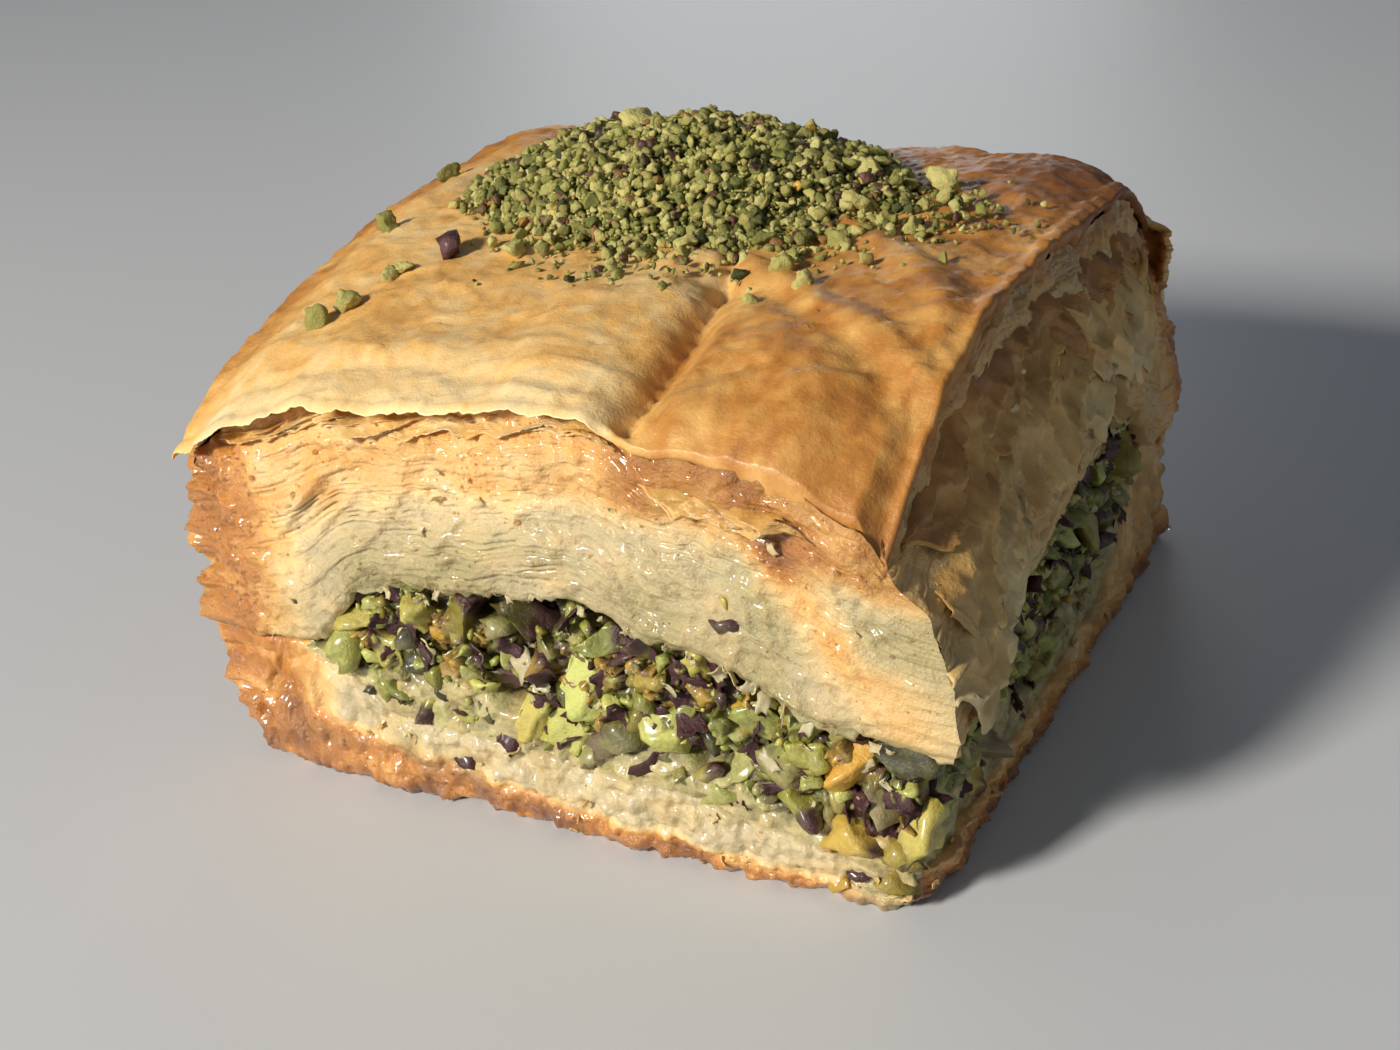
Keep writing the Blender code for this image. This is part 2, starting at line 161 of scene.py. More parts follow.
@dataclass(frozen=True)
class LoafForm:
    """The sizes that the solids of the piece were made from, in millimetres, and its surfaces."""

    centring: tuple[float, float] = (1.461, -0.227)
    front_left: tuple[float, float] = (-31.0, -27.2)
    front_right: tuple[float, float] = (29.4, -31.2)
    back_right: tuple[float, float] = (31.4, 31.2)
    back_left: tuple[float, float] = (-32.0, 30.6)
    rounding: tuple[float, float, float, float] = (1.4, 0.5, 1.0, 3.0)
    corner_sharpness: int = 9
    crown: float = 38.2
    slope_reach: tuple[float, float, float] = (35.0, 14.0, 8.0)
    front_drop: Curve = (
        (0.0, 9.6), (0.1, 7.4), (0.25, 5.0), (0.42, 4.0), (0.6, 2.8), (0.85, 3.6), (0.95, 6.0), (1.0, 8.6)
    )
    back_drop: Curve = ((0.0, 3.6), (0.5, 3.2), (0.8, 4.4), (1.0, 5.2))
    left_drop: Curve = ((0.0, 1.2), (0.5, 3.0), (1.0, 2.4))
    right_drop: Curve = ((0.0, 0.3), (0.5, 0.8), (0.8, 2.0), (1.0, 4.6))
    crease: tuple[float, float, float] = (10.0, 2.2, 1.5)
    swellings: tuple = (
        ((1.5, -19.0), (5.0, 8.0), 0.7),
        ((17.0, -19.0), (6.0, 7.0), 0.9),
        ((-29.0, 27.0), (6.0, 6.0), 1.0),
    )
    ripple: tuple[float, float] = (0.45, 0.2)
    roof_front: Curve = (
        (0.0, 13.0), (0.17, 15.0), (0.3, 18.2), (0.58, 20.0), (0.72, 18.0), (0.9, 14.6), (1.0, 13.2)
    )
    roof_right: Curve = ((0.0, 13.2), (0.22, 16.6), (0.42, 18.2), (0.62, 20.6), (0.8, 18.0), (1.0, 16.0))
    floor_front: Curve = ((0.0, 9.4), (0.17, 8.6), (0.35, 7.0), (0.65, 6.4), (0.85, 4.8), (1.0, 3.2))
    floor_right: Curve = ((0.0, 3.2), (0.4, 3.4), (0.62, 4.2), (0.8, 7.4), (1.0, 9.0))
    filling_from_left: float = 0.2
    filling_to_back: float = 0.8
    pinch: float = 0.125
    cell: float = 0.05
    left_profile: Curve = (
        (0.0, -3.4), (1.2, -0.8), (3.0, 0.8), (6.0, 1.6), (10.0, 2.3), (18.0, 3.2), (22.0, 2.0),
        (29.0, 0.4), (40.0, -0.4),
    )
    back_profile: Curve = ((0.0, -1.6), (2.0, 0.2), (6.0, 1.0), (18.0, 0.4), (26.0, 0.0), (40.0, -0.4))
    base_cut_profile: Curve = ((0.0, -0.3), (1.0, 0.3), (4.0, 0.4), (8.0, -0.2))
    front_cut_profile: Curve = ((0.0, 0.2), (1.2, 0.8), (4.0, 0.7), (9.0, 0.3), (14.0, 0.5))
    right_cut_profile: Curve = ((0.0, 1.2), (1.5, 1.8), (5.0, 1.5), (10.0, 0.3), (15.0, -1.0), (20.0, -0.8))
    corner_flare: float = 1.8
    corner_reach: float = 2.6
    opening: Curve = ((0.0, 0.1), (0.06, 0.5), (0.14, 1.2), (0.3, 1.5), (0.58, 1.2), (0.67, 0.5), (0.74, 0.0))
    rolled_depth: float = 1.5
    rolled_reach: float = 4.5

    def plan(self, u: float, v: float) -> Vector:
        """Footprint point at u, left to right, and v, front to back."""
        front = Vector(self.front_left).lerp(Vector(self.front_right), u)
        back = Vector(self.back_left).lerp(Vector(self.back_right), u)
        point = front.lerp(back, v)
        a = 2 * u - 1
        b = 2 * v - 1
        near_corner = min(1.0, abs(a * b)) ** self.corner_sharpness
        front_left, front_right, back_right, back_left = self.rounding
        left = front_left * (1 - v) + back_left * v
        right = front_right * (1 - v) + back_right * v
        pull = (left * (1 - u) + right * u) * near_corner
        point.x -= math.copysign(pull, a) - self.centring[0]
        point.y -= math.copysign(pull, b) - self.centring[1]
        return point

    @property
    def width(self) -> float:
        """Length of the front cut."""
        return self.front_right[0] - self.front_left[0]

    @property
    def depth(self) -> float:
        """Length of the right cut."""
        return self.back_right[1] - self.front_right[1]

    def slope(self, distance: float, reach: float) -> float:
        """Share of a side's drop that is felt at this distance from the side."""
        return max(0.0, 1 - distance / reach) ** 1.5

    def top(self, u: float, v: float) -> float:
        """Height of the domed, creased top."""
        x, y = self.plan(u, v) - Vector(self.centring)
        front, back, sides = self.slope_reach
        z = self.crown
        corner_reach = front * (1 - 0.45 * ramp((u - 0.55) / 0.4))
        z -= along(self.front_drop, u) * self.slope(v * self.depth, corner_reach)
        z -= along(self.back_drop, u) * self.slope((1 - v) * self.depth, back)
        z -= along(self.left_drop, v) * self.slope(u * self.width, sides)
        z -= along(self.right_drop, v) * self.slope((1 - u) * self.width, sides)
        place, width, depth = self.crease
        z -= depth * ramp((-2.0 - y) / 14.0) * math.exp(-(((x - place) / width) ** 2))
        for centre, widths, height in self.swellings:
            z += bump(x, y, centre, widths, height)
        z += self.ripple[0] * wave(x * 0.11, y * 0.11, 3.0)
        return z + self.ripple[1] * wave(x * 0.3, y * 0.3, 8.0)

    def nut_layer(self, u: float, v: float) -> tuple[float, float]:
        """Floor and roof of the nut layer, the same height where it has pinched out."""
        roof = along(self.roof_front, u) + u * (along(self.roof_right, v) - self.roof_right[0][1])
        floor = along(self.floor_front, u) + u * (along(self.floor_right, v) - self.floor_right[0][1])
        middle = (roof + floor) / 2
        from_left = (u - self.filling_from_left + self.cell) / self.pinch
        from_back = (self.filling_to_back + self.cell - v) / self.pinch
        share = ramp(from_left) * ramp(from_back)
        return middle - (middle - floor) * share, middle + (roof - middle) * share

    def under_flap(self, u: float, below_top: float) -> float:
        """How far the front wall is set back under the lifted edge of the top sheet."""
        return along(self.opening, u) * ramp((3.4 - below_top) / 1.8)

    def rolled(self, u: float, distance: float) -> float:
        """How far the top rolls over near the front cut, where the sheet clings to it."""
        near = max(0.0, 1 - distance / self.rolled_reach)
        return self.rolled_depth * near * near * ramp((u - 0.65) / 0.08)

    def share_at(self, x: float, y: float) -> tuple[float, float]:
        """The u and v whose footprint point is at x, y."""
        u, v = 0.5, 0.5
        for _ in range(7):
            point = self.plan(u, v)
            u = unit(u + (x - point.x) / self.width)
            v = unit(v + (y - point.y) / self.depth)
        return u, v

    def top_at(self, x: float, y: float) -> float:
        """Height of the top over a point in millimetres."""
        return self.top(*self.share_at(x, y))

    def upper_stand_out(self, side: Side, u: float, v: float, z: float) -> float:
        """How far the upper stack's wall stands out of the footprint at this height."""
        if side is Side.LEFT:
            return along(self.left_profile, z)
        if side is Side.BACK:
            return along(self.back_profile, z)
        above_roof = z - self.nut_layer(u, v)[1]
        if side is Side.FRONT:
            return along(self.front_cut_profile, above_roof)
        flare = self.corner_flare * self.slope(v, 0.3) * ramp((13.0 - above_roof) / 3.0)
        return along(self.right_cut_profile, above_roof) + flare

    def base_stand_out(self, side: Side, u: float, v: float, z: float) -> float:
        """How far the lower stack's wall stands out of the footprint at this height."""
        if side is Side.LEFT:
            return along(self.left_profile, z)
        if side is Side.BACK:
            return along(self.back_profile, z)
        return along(self.base_cut_profile, z)

    def length(self, side: Side) -> float:
        """Length of a side in plan."""
        return self.width if side in (Side.FRONT, Side.BACK) else self.depth

    def wall_point(self, side: Side, share: float, z: float, stand_out: Callable, extra: float) -> Vector:
        """Point on a wall, with the corners shared evenly between the walls that meet there.

        Args:
            side: The wall.
            share: Place along the wall.
            z: Height.
            stand_out: The wall's own stand-out, as upper_stand_out gives it.
            extra: Relief added to the stand-out.

        Returns:
            The point in millimetres.
        """
        u, v = side.place(share)
        base = self.plan(u, v)
        length = self.length(side)
        shift = side.outward * (stand_out(side, u, v, z) + extra)
        ends = ((side.before, share * length, 0.0), (side.after, (1 - share) * length, 1.0))
        for other, distance, corner in ends:
            near = max(0.0, 1 - distance / self.corner_reach)
            if near > 0.0:
                corner_u, corner_v = side.place(corner)
                shift += other.outward * (stand_out(other, corner_u, corner_v, z) + extra) * near * near
        return Vector((base.x + shift.x, base.y + shift.y, z))


def mark_layers(bm: bmesh.types.BMesh, names: Iterable[str]) -> dict[str, bmesh.types.BMLayerItem]:
    """Makes one number layer on the vertices for each name."""
    return {name: bm.verts.layers.float.new(name) for name in names}


def riding_piece(mesh: bpy.types.Mesh, name: str, finish: Material) -> Piece:
    """Makes a smooth, dressed piece that rides on the body.

    Args:
        mesh: Its mesh in metres.
        name: Its name.
        finish: Its finish.

    Returns:
        The new object.
    """
    mesh.shade_smooth()
    mesh.materials.append(finish)
    piece = bpy.data.objects.new(name, mesh)
    bpy.context.scene.collection.objects.link(piece)
    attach(piece, "root")
    log.info("%s: %d faces", name, len(mesh.polygons))
    return piece


def finish_piece(bm: bmesh.types.BMesh, name: str, finish: Material) -> Piece:
    """Turns a mesh in millimetres, which is freed, into a dressed piece that rides on the body."""
    bmesh.ops.scale(bm, vec=(MM, MM, MM), verts=bm.verts)
    mesh = bpy.data.meshes.new(name)
    bm.to_mesh(mesh)
    bm.free()
    return riding_piece(mesh, name, finish)


def shaped_grid(columns: int, rows: int, place: Placing, marks: Sequence[str]) -> bmesh.types.BMesh:
    """A grid whose points are put in place one by one.

    Args:
        columns: Cells across.
        rows: Cells up.
        place: Gives the point and its marks for a column and row number.
        marks: Names of the marks.

    Returns:
        The mesh in millimetres.
    """
    bm = bmesh.new()
    bmesh.ops.create_grid(bm, x_segments=columns, y_segments=rows, size=1.0)
    layers = mark_layers(bm, marks)
    for vert in bm.verts:
        column = round((vert.co.x + 1) / 2 * columns)
        row = round((vert.co.y + 1) / 2 * rows)
        vert.co, values = place(column, row)
        for name, layer in layers.items():
            vert[layer] = values[name]
    return bm


@dataclass
class Station:
    """One upright line of a wall: its place on the footprint and the heights there."""

    u: float
    v: float
    x: float
    y: float
    roof: float
    floor: float
    top: float


def stations(form: LoafForm, side: Side, columns: int) -> list[Station]:
    """Upright lines of a wall, evenly spaced from its first corner to its last.

    Args:
        form: The piece.
        side: The wall.
        columns: Cells between the corners.

    Returns:
        The lines.
    """
    found = []
    for i in range(columns + 1):
        u, v = side.place(i / columns)
        point = form.plan(u, v)
        floor, roof = form.nut_layer(u, v)
        found.append(Station(u, v, point.x, point.y, roof, floor, form.top(u, v)))
    return found


@dataclass(frozen=True)
class Relief:
    """How far the layers of a wall stand in and out, in millimetres."""

    long: float
    swell: float
    middle: float
    fine: float
    groove: float
    ledge: float
    crumple: float
    pocket: float
    grain: float

    def mix(self, other: "Relief", share: float) -> "Relief":
        """This relief moved a share of the way to another."""
        own, there = vars(self), vars(other)
        return Relief(**{name: own[name] + (there[name] - own[name]) * share for name in own})

    def at(self, spot: Vector, layer: int, pack: int, across: float, smear: float) -> float:
        """Stand-out of one layer.

        Args:
            spot: Place on the wall, in millimetres.
            layer: Number of the layer.
            pack: Number of the pack of layers that hold together.
            across: Place in the layer's own thickness, 0 at its lower edge and 1 at its upper.
            smear: How far the knife or syrup has closed the layers, from 0 to 1.

        Returns:
            The stand-out in millimetres.
        """
        x, y, z = spot
        apart = 1.05 - smear
        out = self.long * wave(x * 0.12, y * 0.12, pack * 7.31) * apart
        out += self.swell * wave(x * 0.2, y * 0.2, z * 0.24 + 12.0)
        step = ramp((wave((x - 0.9 * z) * 0.42, y * 0.42, pack * 2.3 + 20.0) + 0.05) / 0.5)
        out += self.ledge * step * apart
        out += self.middle * wave(x * 0.45, y * 0.45, layer * 3.7 + 50.0) * apart
        out += self.fine * wave(x * 1.9, y * 1.9, layer * 5.1 + 90.0)
        dragged = wave((x - 0.8 * z) * 0.2, (0.8 * x + z) * 0.55, y * 0.5)
        ridge = 1 - min(1.0, abs(dragged) * 3.0)
        crumpled = ridge * ridge + 0.8 * wave(x * 1.2, y * 1.2, z * 1.4 + 9.0)
        out += self.crumple * crumpled * (0.35 + 0.65 * smear)
        out -= self.pocket * ramp((wave(x * 0.36, y * 0.36, z * 0.48 + 30.0) - 0.2) / 0.2)
        lump, crumb = noise.voronoi(spot * 0.62)[0][0], noise.voronoi(spot * 1.6)[0][0]
        out += self.grain * (0.5 - 1.1 * lump * lump + 0.5 * (0.3 - crumb * crumb))
        gap = ramp((wave(x * 0.13, y * 0.13, layer * 1.9 + 70.0) - 0.02) / 0.25)
        slit = ramp((wave(x * 0.4, y * 0.4, layer * 2.7 + 110.0) - 0.24) / 0.16)
        cut_in = self.groove * (0.15 + 1.2 * gap + 4.0 * slit) * apart
        return out - cut_in * abs(2 * across - 1) ** 5


CUT_RELIEF = Relief(
    long=0.5, swell=0.6, middle=0.14, fine=0.05, groove=0.15, ledge=0.9, crumple=0.24, pocket=0.0, grain=0.12
)
TRAY_RELIEF = Relief(
    long=0.1, swell=0.9, middle=0.03, fine=0.02, groove=0.05, ledge=0.1, crumple=0.3, pocket=0.9, grain=0.68
)
BASE_RELIEF = Relief(
    long=0.25, swell=0.5, middle=0.04, fine=0.03, groove=0.03, ledge=0.2, crumple=0.25, pocket=0.2, grain=0.7
)
ROW_PLACES = (0.03, 0.35, 0.65, 0.97)
CORNER_BLEND = 8.0


@dataclass(frozen=True)
class LayerPlan:
    """Uneven layers: the shares of the height where they meet, and the pack that each belongs to."""

    edges: tuple[float, ...]
    packs: tuple[int, ...]

    @classmethod
    def drawn(cls, count: int, seed: int) -> "LayerPlan":
        """Draws the layers.

        Args:
            count: How many layers.
            seed: Seed of the random draw.

        Returns:
            The plan.
        """
        rng = random.Random(seed)
        sizes = [rng.uniform(0.6, 1.5) for _ in range(count)]
        edges = [0.0]
        for size in sizes:
            edges.append(edges[-1] + size / sum(sizes))
        packs, pack, left = [], 0, 3
        for _ in range(count):
            packs.append(pack)
            left -= 1
            if left == 0:
                pack, left = pack + 1, rng.randint(2, 5)
        return cls(tuple(edges), tuple(packs))

    def row(self, number: int) -> tuple[int, int, float, float]:
        """Layer, pack, place across the layer and share of the height for a row of points."""
        layer, part = divmod(number, len(ROW_PLACES))
        across = ROW_PLACES[part]
        low, high = self.edges[layer], self.edges[layer + 1]
        return layer, self.packs[layer], across, low + (high - low) * across


def relief_at(form: LoafForm, side: Side, share: float, own: Relief, tray: Relief) -> Relief:
    """The relief of a wall, shared with the neighbouring wall near a corner.

    Args:
        form: The piece.
        side: The wall.
        share: Place along it.
        own: Relief of a knife cut.
        tray: Relief of a tray side.

    Returns:
        The relief there.
    """
    if side.tray:
        return tray
    here, length = own, form.length(side)
    for other, distance in ((side.before, share * length), (side.after, (1 - share) * length)):
        if distance < CORNER_BLEND and other.tray:
            here = here.mix(tray, ramp(1.15 - distance / CORNER_BLEND))
    return here


@dataclass
class UpperStack:
    """The upper filo stack: four walls of thin layers under the top sheet."""

    form: LoafForm
    layers: int = 31
    cut_columns: int = 340
    tray_columns: int = 190
    returns: int = 4
    return_step: float = 1.5
    seed: int = 5
    under_sheet: float = 0.6
    glaze_start: tuple[float, float] = (19.5, 27.0)
    glaze_width: float = 3.4
    orange_line: Curve = (
        (-31.6, 17.1), (-24.4, 21.8), (-18.0, 24.5), (-10.2, 26.9), (-3.1, 27.5), (6.9, 28.3), (14.6, 28.0),
        (21.8, 26.3), (28.7, 24.6),
    )

    def height(self, side: Side, spot: Station, w: float) -> float:
        """Height of a layer line between the roof of the nuts and the top sheet."""
        low = spot.roof + 0.15
        high = spot.top - self.under_sheet
        if side is Side.FRONT:
            high -= self.form.rolled(spot.u, 0.0)
        waver = 0.7 * wave_at(spot, 0.1, w * 3.0) + 0.3 * wave_at(spot, 0.32, w * 6.0)
        waver += 0.3 * wave_at(spot, 0.22, w * 14.0) + 0.05 * wave_at(spot, 1.3, w * 22.0)
        ragged = 0.9 * wave_at(spot, 0.45, 33.0) + 0.5 * wave_at(spot, 1.5, 35.0)
        return low + (high - low) * w + waver * math.sqrt(max(0.0, 1 - w)) + ragged * max(0.0, 1 - w * 9)

    def smear(self, side: Side, spot: Station, z: float) -> float:
        """How far the layers are closed by the knife or by syrup at a point, from 0 to 1."""
        x = spot.x - self.form.centring[0]
        patch = 0.5 * wave_at(spot, 0.14, z * 0.2 + 3.0)
        if side is not Side.FRONT:
            return min(1.0, (0.95 if side.tray else 0.8) + patch * (0.2 if side.tray else 1.0))
        open_left = bump(x, z, (-17.0, 24.8), (6.5, 2.6), 0.8)
        open_middle = bump(x, z, (-3.0, 23.0), (11.0, 2.0), 0.7)
        open_right = bump(x, z, (15.0, 28.0), (5.0, 2.0), 0.6)
        closed = 0.95 + 0.5 * patch - max(open_left, open_middle, open_right)
        closed = unit(max(closed, ramp((4.0 - spot.top + z) / 1.5)))
        return closed + (0.95 + 0.2 * patch - closed) * ramp((-24.0 - x) / 5.0)

    def marks(self, side: Side, spot: Station, z: float, layer: int, across: float, smear: float) -> Marks:
        """Marks of a point: how browned and how soaked it is, its tone, painted shade in its layer groove,
        its layer and syrup.
        """
        x, y = spot.x - self.form.centring[0], spot.y - self.form.centring[1]
        above_roof = z - spot.roof
        below_top = spot.top - z
        streak = wave_at(spot, 0.3, layer * 1.7)
        patch = wave_at(spot, 0.16, z * 0.2 + 40.0)
        tone = 0.5 + (0.3 * wave(layer * 3.3, 5.0, 1.0) + 0.35 * streak) * (1.1 - smear) + 0.4 * patch
        if side is Side.FRONT:
            line = along(self.orange_line, x)
            orange = ramp((z - line + 2.2) / 3.4)
            bake = 0.04 + 0.38 * orange + 0.12 * ramp((3.5 - below_top) / 3.0)
            bake += 0.22 * orange * ramp((x - 5.0) / 6.0)
            across_glaze = (z - self.glaze_start[1] + (x - self.glaze_start[0]) * 1.33) / self.glaze_width
            glaze = math.exp(-across_glaze * across_glaze) * ramp((x - 16.0) / 4.0) * ramp((30.5 - x) / 3.0)
            bake = max(bake + 0.42 * glaze, 0.78 * ramp((-16.5 - x) / 12.0) + 0.14 * patch)
            tone -= 0.35 * orange * ramp((x - 5.0) / 6.0)
            soak = ramp(1 - above_roof / 8.0) * ramp((x + 27.0) / 7.0)
            pale_soak = (0.4 + 1.3 * patch) * ramp((x - 4.0) / 12.0) * (1 - orange)
            soak = max(soak * (0.9 + 1.6 * patch), pale_soak) * (1 - glaze)
            wet = max(0.7 * orange, ramp((-22.0 - x) / 5.0), 0.8 * soak, 0.45)
        elif side is Side.RIGHT:
            bake = 0.4 + 0.3 * ramp((4.0 - below_top) / 3.0) + 0.4 * ramp((y - 22.0) / 7.0)
            soak = (0.35 + 0.6 * patch) * ramp((26.0 - y) / 8.0)
            wet = 0.4
        else:
            bake = 0.7 + 0.4 * patch
            soak = 0.0
            wet = 0.6
        bake += 0.16 * wave_at(spot, 0.35, z * 0.5 + 7.0)
        found = sheet_marks(bake, unit(soak), tone, unit(wet + 0.5 * patch))
        # pit: painted shade in the groove at each layer's edges, less where the layers are closed.
        return found | {"pit": abs(2 * across - 1) ** 4 * (1 - smear), "level": layer + across}

    def wall(self, side: Side, finish: Material) -> Piece:
        """One wall of layers, with its lower edge turned in over the nuts.

        Args:
            side: Which wall.
            finish: Its finish.

        Returns:
            The piece.
        """
        form = self.form
        columns = self.tray_columns if side.tray else self.cut_columns
        spots = stations(form, side, columns)
        reliefs = [relief_at(form, side, i / columns, CUT_RELIEF, TRAY_RELIEF) for i in range(columns + 1)]
        rows = self.layers * len(ROW_PLACES) + self.returns - 1
        plan = LayerPlan.drawn(self.layers, self.seed)

        def place(column: int, row: int) -> tuple[Vector, Marks]:
            spot = spots[column]
            layer, pack, across, w = plan.row(max(row - self.returns, 0))
            z = self.height(side, spot, w)
            smear = self.smear(side, spot, z)
            extra = reliefs[column].at(Vector((spot.x, spot.y, z)), layer, pack, across, smear)
            below_top = spot.top - z
            if side is Side.FRONT:
                extra -= form.under_flap(spot.u, below_top)
            extra -= 0.35 * ramp((2.0 - below_top) / 1.6)
            inward = max(self.returns - row, 0) * self.return_step
            point = form.wall_point(side, column / columns, z, form.upper_stand_out, extra - inward)
            point.z += 0.12 * inward
            return point, self.marks(side, spot, z, layer, across, smear)

        bm = shaped_grid(columns, rows, place, FILO_MARKS)
        return finish_piece(bm, f"upper_layers_{side.name.lower()}", finish)

    def build(self, finish: Material) -> list[Piece]:
        """Makes and dresses the four walls."""
        return [self.wall(side, finish) for side in Side]


@dataclass
class BaseStack:
    """The lower filo stack: a few soaked layers with a browned, ragged lower rim."""

    form: LoafForm
    layers: int = 9
    cut_columns: int = 340
    tray_columns: int = 230
    returns: int = 5
    return_step: float = 1.0
    worn_corner: float = 1.3
    seed: int = 8
    rim_line: Curve = (
        (-31.0, 9.0), (-24.0, 6.4), (-14.2, 4.6), (-5.1, 3.4),
        (3.6, 2.3), (11.9, 1.9), (19.9, 1.4), (29.0, 1.0),
    )

    def marks(self, side: Side, spot: Station, z: float, layer: int, across: float) -> Marks:
        """Marks of a point, as on the upper stack."""
        x = spot.x - self.form.centring[0]
        patch = wave_at(spot, 0.3, z * 0.4)
        rim = ramp((along(self.rim_line, x) - z + 0.9) / 1.6)
        if side is Side.FRONT:
            bake = max(0.05 + 0.78 * rim, 0.74 * ramp((-16.5 - x) / 9.0), 0.5 * ramp((x - 25.0) / 4.0))
        elif side is Side.RIGHT:
            bake = 0.5 + 0.4 * ramp((3.0 - z) / 2.0)
        else:
            bake = 0.68
        soak = 0.0 if side.tray else (0.2 + 0.9 * patch) * ramp((z - 1.5) / 3.0) * ramp((x + 25.0) / 8.0)
        soak = max(soak, 0.75 * ramp((x - 21.0) / 6.0) if side is Side.FRONT else 0.0)
        tone, wet = 0.5 + 0.5 * wave_at(spot, 0.5, layer * 2.1), 0.9 if side.tray else 0.35 + 0.6 * rim
        found = sheet_marks(bake + 0.3 * patch, unit(soak), tone, wet)
        # pit: a little painted shade in the groove at each layer's edges.
        return found | {"pit": 0.2 * abs(2 * across - 1) ** 4, "level": layer + across}

    def wall(self, side: Side, finish: Material) -> Piece:
        """One wall, with its upper edge turned in under the nuts and its lower edge under the piece.

        Args:
            side: Which wall.
            finish: Its finish.

        Returns:
            The piece.
        """
        form = self.form
        columns = self.tray_columns if side.tray else self.cut_columns
        spots = stations(form, side, columns)
        reliefs = [relief_at(form, side, i / columns, BASE_RELIEF, TRAY_RELIEF) for i in range(columns + 1)]
        body_rows = self.layers * len(ROW_PLACES)
        under_rows = 3
        plan = LayerPlan.drawn(self.layers, self.seed)
        rows = under_rows + body_rows + self.returns - 1

        def place(column: int, row: int) -> tuple[Vector, Marks]:
            spot = spots[column]
            layer, pack, across, w = plan.row(min(max(row - under_rows, 0), body_rows - 1))
            z = (spot.floor - 0.15) * w
            z += 0.18 * wave_at(spot, 0.6, w * 5.0) * math.sin(math.pi * w)
            smear = 0.75 + 0.5 * wave_at(spot, 0.15, z * 0.3)
            extra = reliefs[column].at(Vector((spot.x, spot.y, z)), layer + 60, pack + 60, across, smear)
            lumps = wave_at(spot, 0.22, 3.0) + 0.7 * wave_at(spot, 0.6, z * 0.5)
            extra += 0.6 * lumps * ramp((2.8 - z) / 2.0)
            inward = max(row - under_rows - body_rows + 1, 0) * self.return_step
            under = max(under_rows - row, 0)
            share = column / columns
            to_front_right = form.length(side) * {Side.FRONT: 1 - share, Side.RIGHT: share}.get(side, 1.0)
            extra -= inward + under * 1.2 + self.worn_corner * ramp(1 - to_front_right / 3.0)
            point = form.wall_point(side, share, max(z, 0.0), form.base_stand_out, extra)
            if under:
                point.z = 0.02
            elif z < 1.2:
                point.z += 0.5 * max(0.0, wave_at(spot, 0.5, 60.0)) * (1 - z / 1.2)
            if inward:
                point.z += 0.3 * wave_at(point, 0.7, 9.0)
            return point, self.marks(side, spot, z, layer, across)

        bm = shaped_grid(columns, rows, place, FILO_MARKS)
        return finish_piece(bm, f"base_layers_{side.name.lower()}", finish)

    def sole(self, finish: Material) -> Piece:
        """The flat underside, a slab that fills the inside of the base."""
        cells = 40

        def place(column: int, row: int) -> tuple[Vector, Marks]:
            u = 0.03 + 0.94 * column / cells
            v = 0.97 - 0.94 * row / cells
            point = self.form.plan(u, v)
            bake = 0.75 + 0.25 * wave_at(point, 0.2, 1.0)
            height = 0.0 if 0 < column < cells and 0 < row < cells else 0.3
            return Vector((point.x, point.y, height)), sheet_marks(bake, 0.0, 0.5, 0.6)

        bm = shaped_grid(cells, cells, place, FILO_MARKS)
        return finish_piece(bm, "base_underside", finish)

    def build(self, finish: Material) -> list[Piece]:
        """Makes and dresses the four walls and the underside."""
        return [self.wall(side, finish) for side in Side] + [self.sole(finish)]


@dataclass(frozen=True)
class Fold:
    """A ridge, or with a negative height a furrow, along a line of points on the top sheet."""

    points: tuple[tuple[float, float], ...]
    width: float
    height: float

    def at(self, x: float, y: float) -> float:
        """Height of the fold at a point, fading at its ends."""
        best = 0.0
        last = len(self.points) - 2
        for i, (start, end) in enumerate(zip(self.points, self.points[1:])):
            run = Vector(end) - Vector(start)
            t = (Vector((x, y)) - Vector(start)).dot(run) / run.length_squared
            low = -1.0 if i == 0 else 0.0
            high = 2.0 if i == last else 1.0
            if not low <= t <= high:
                continue
            t = unit(t)
            away = (Vector((x, y)) - Vector(start) - run * t).length / self.width
            if away < 3.0:
                best = max(best, math.exp(-away * away))
        return self.height * best


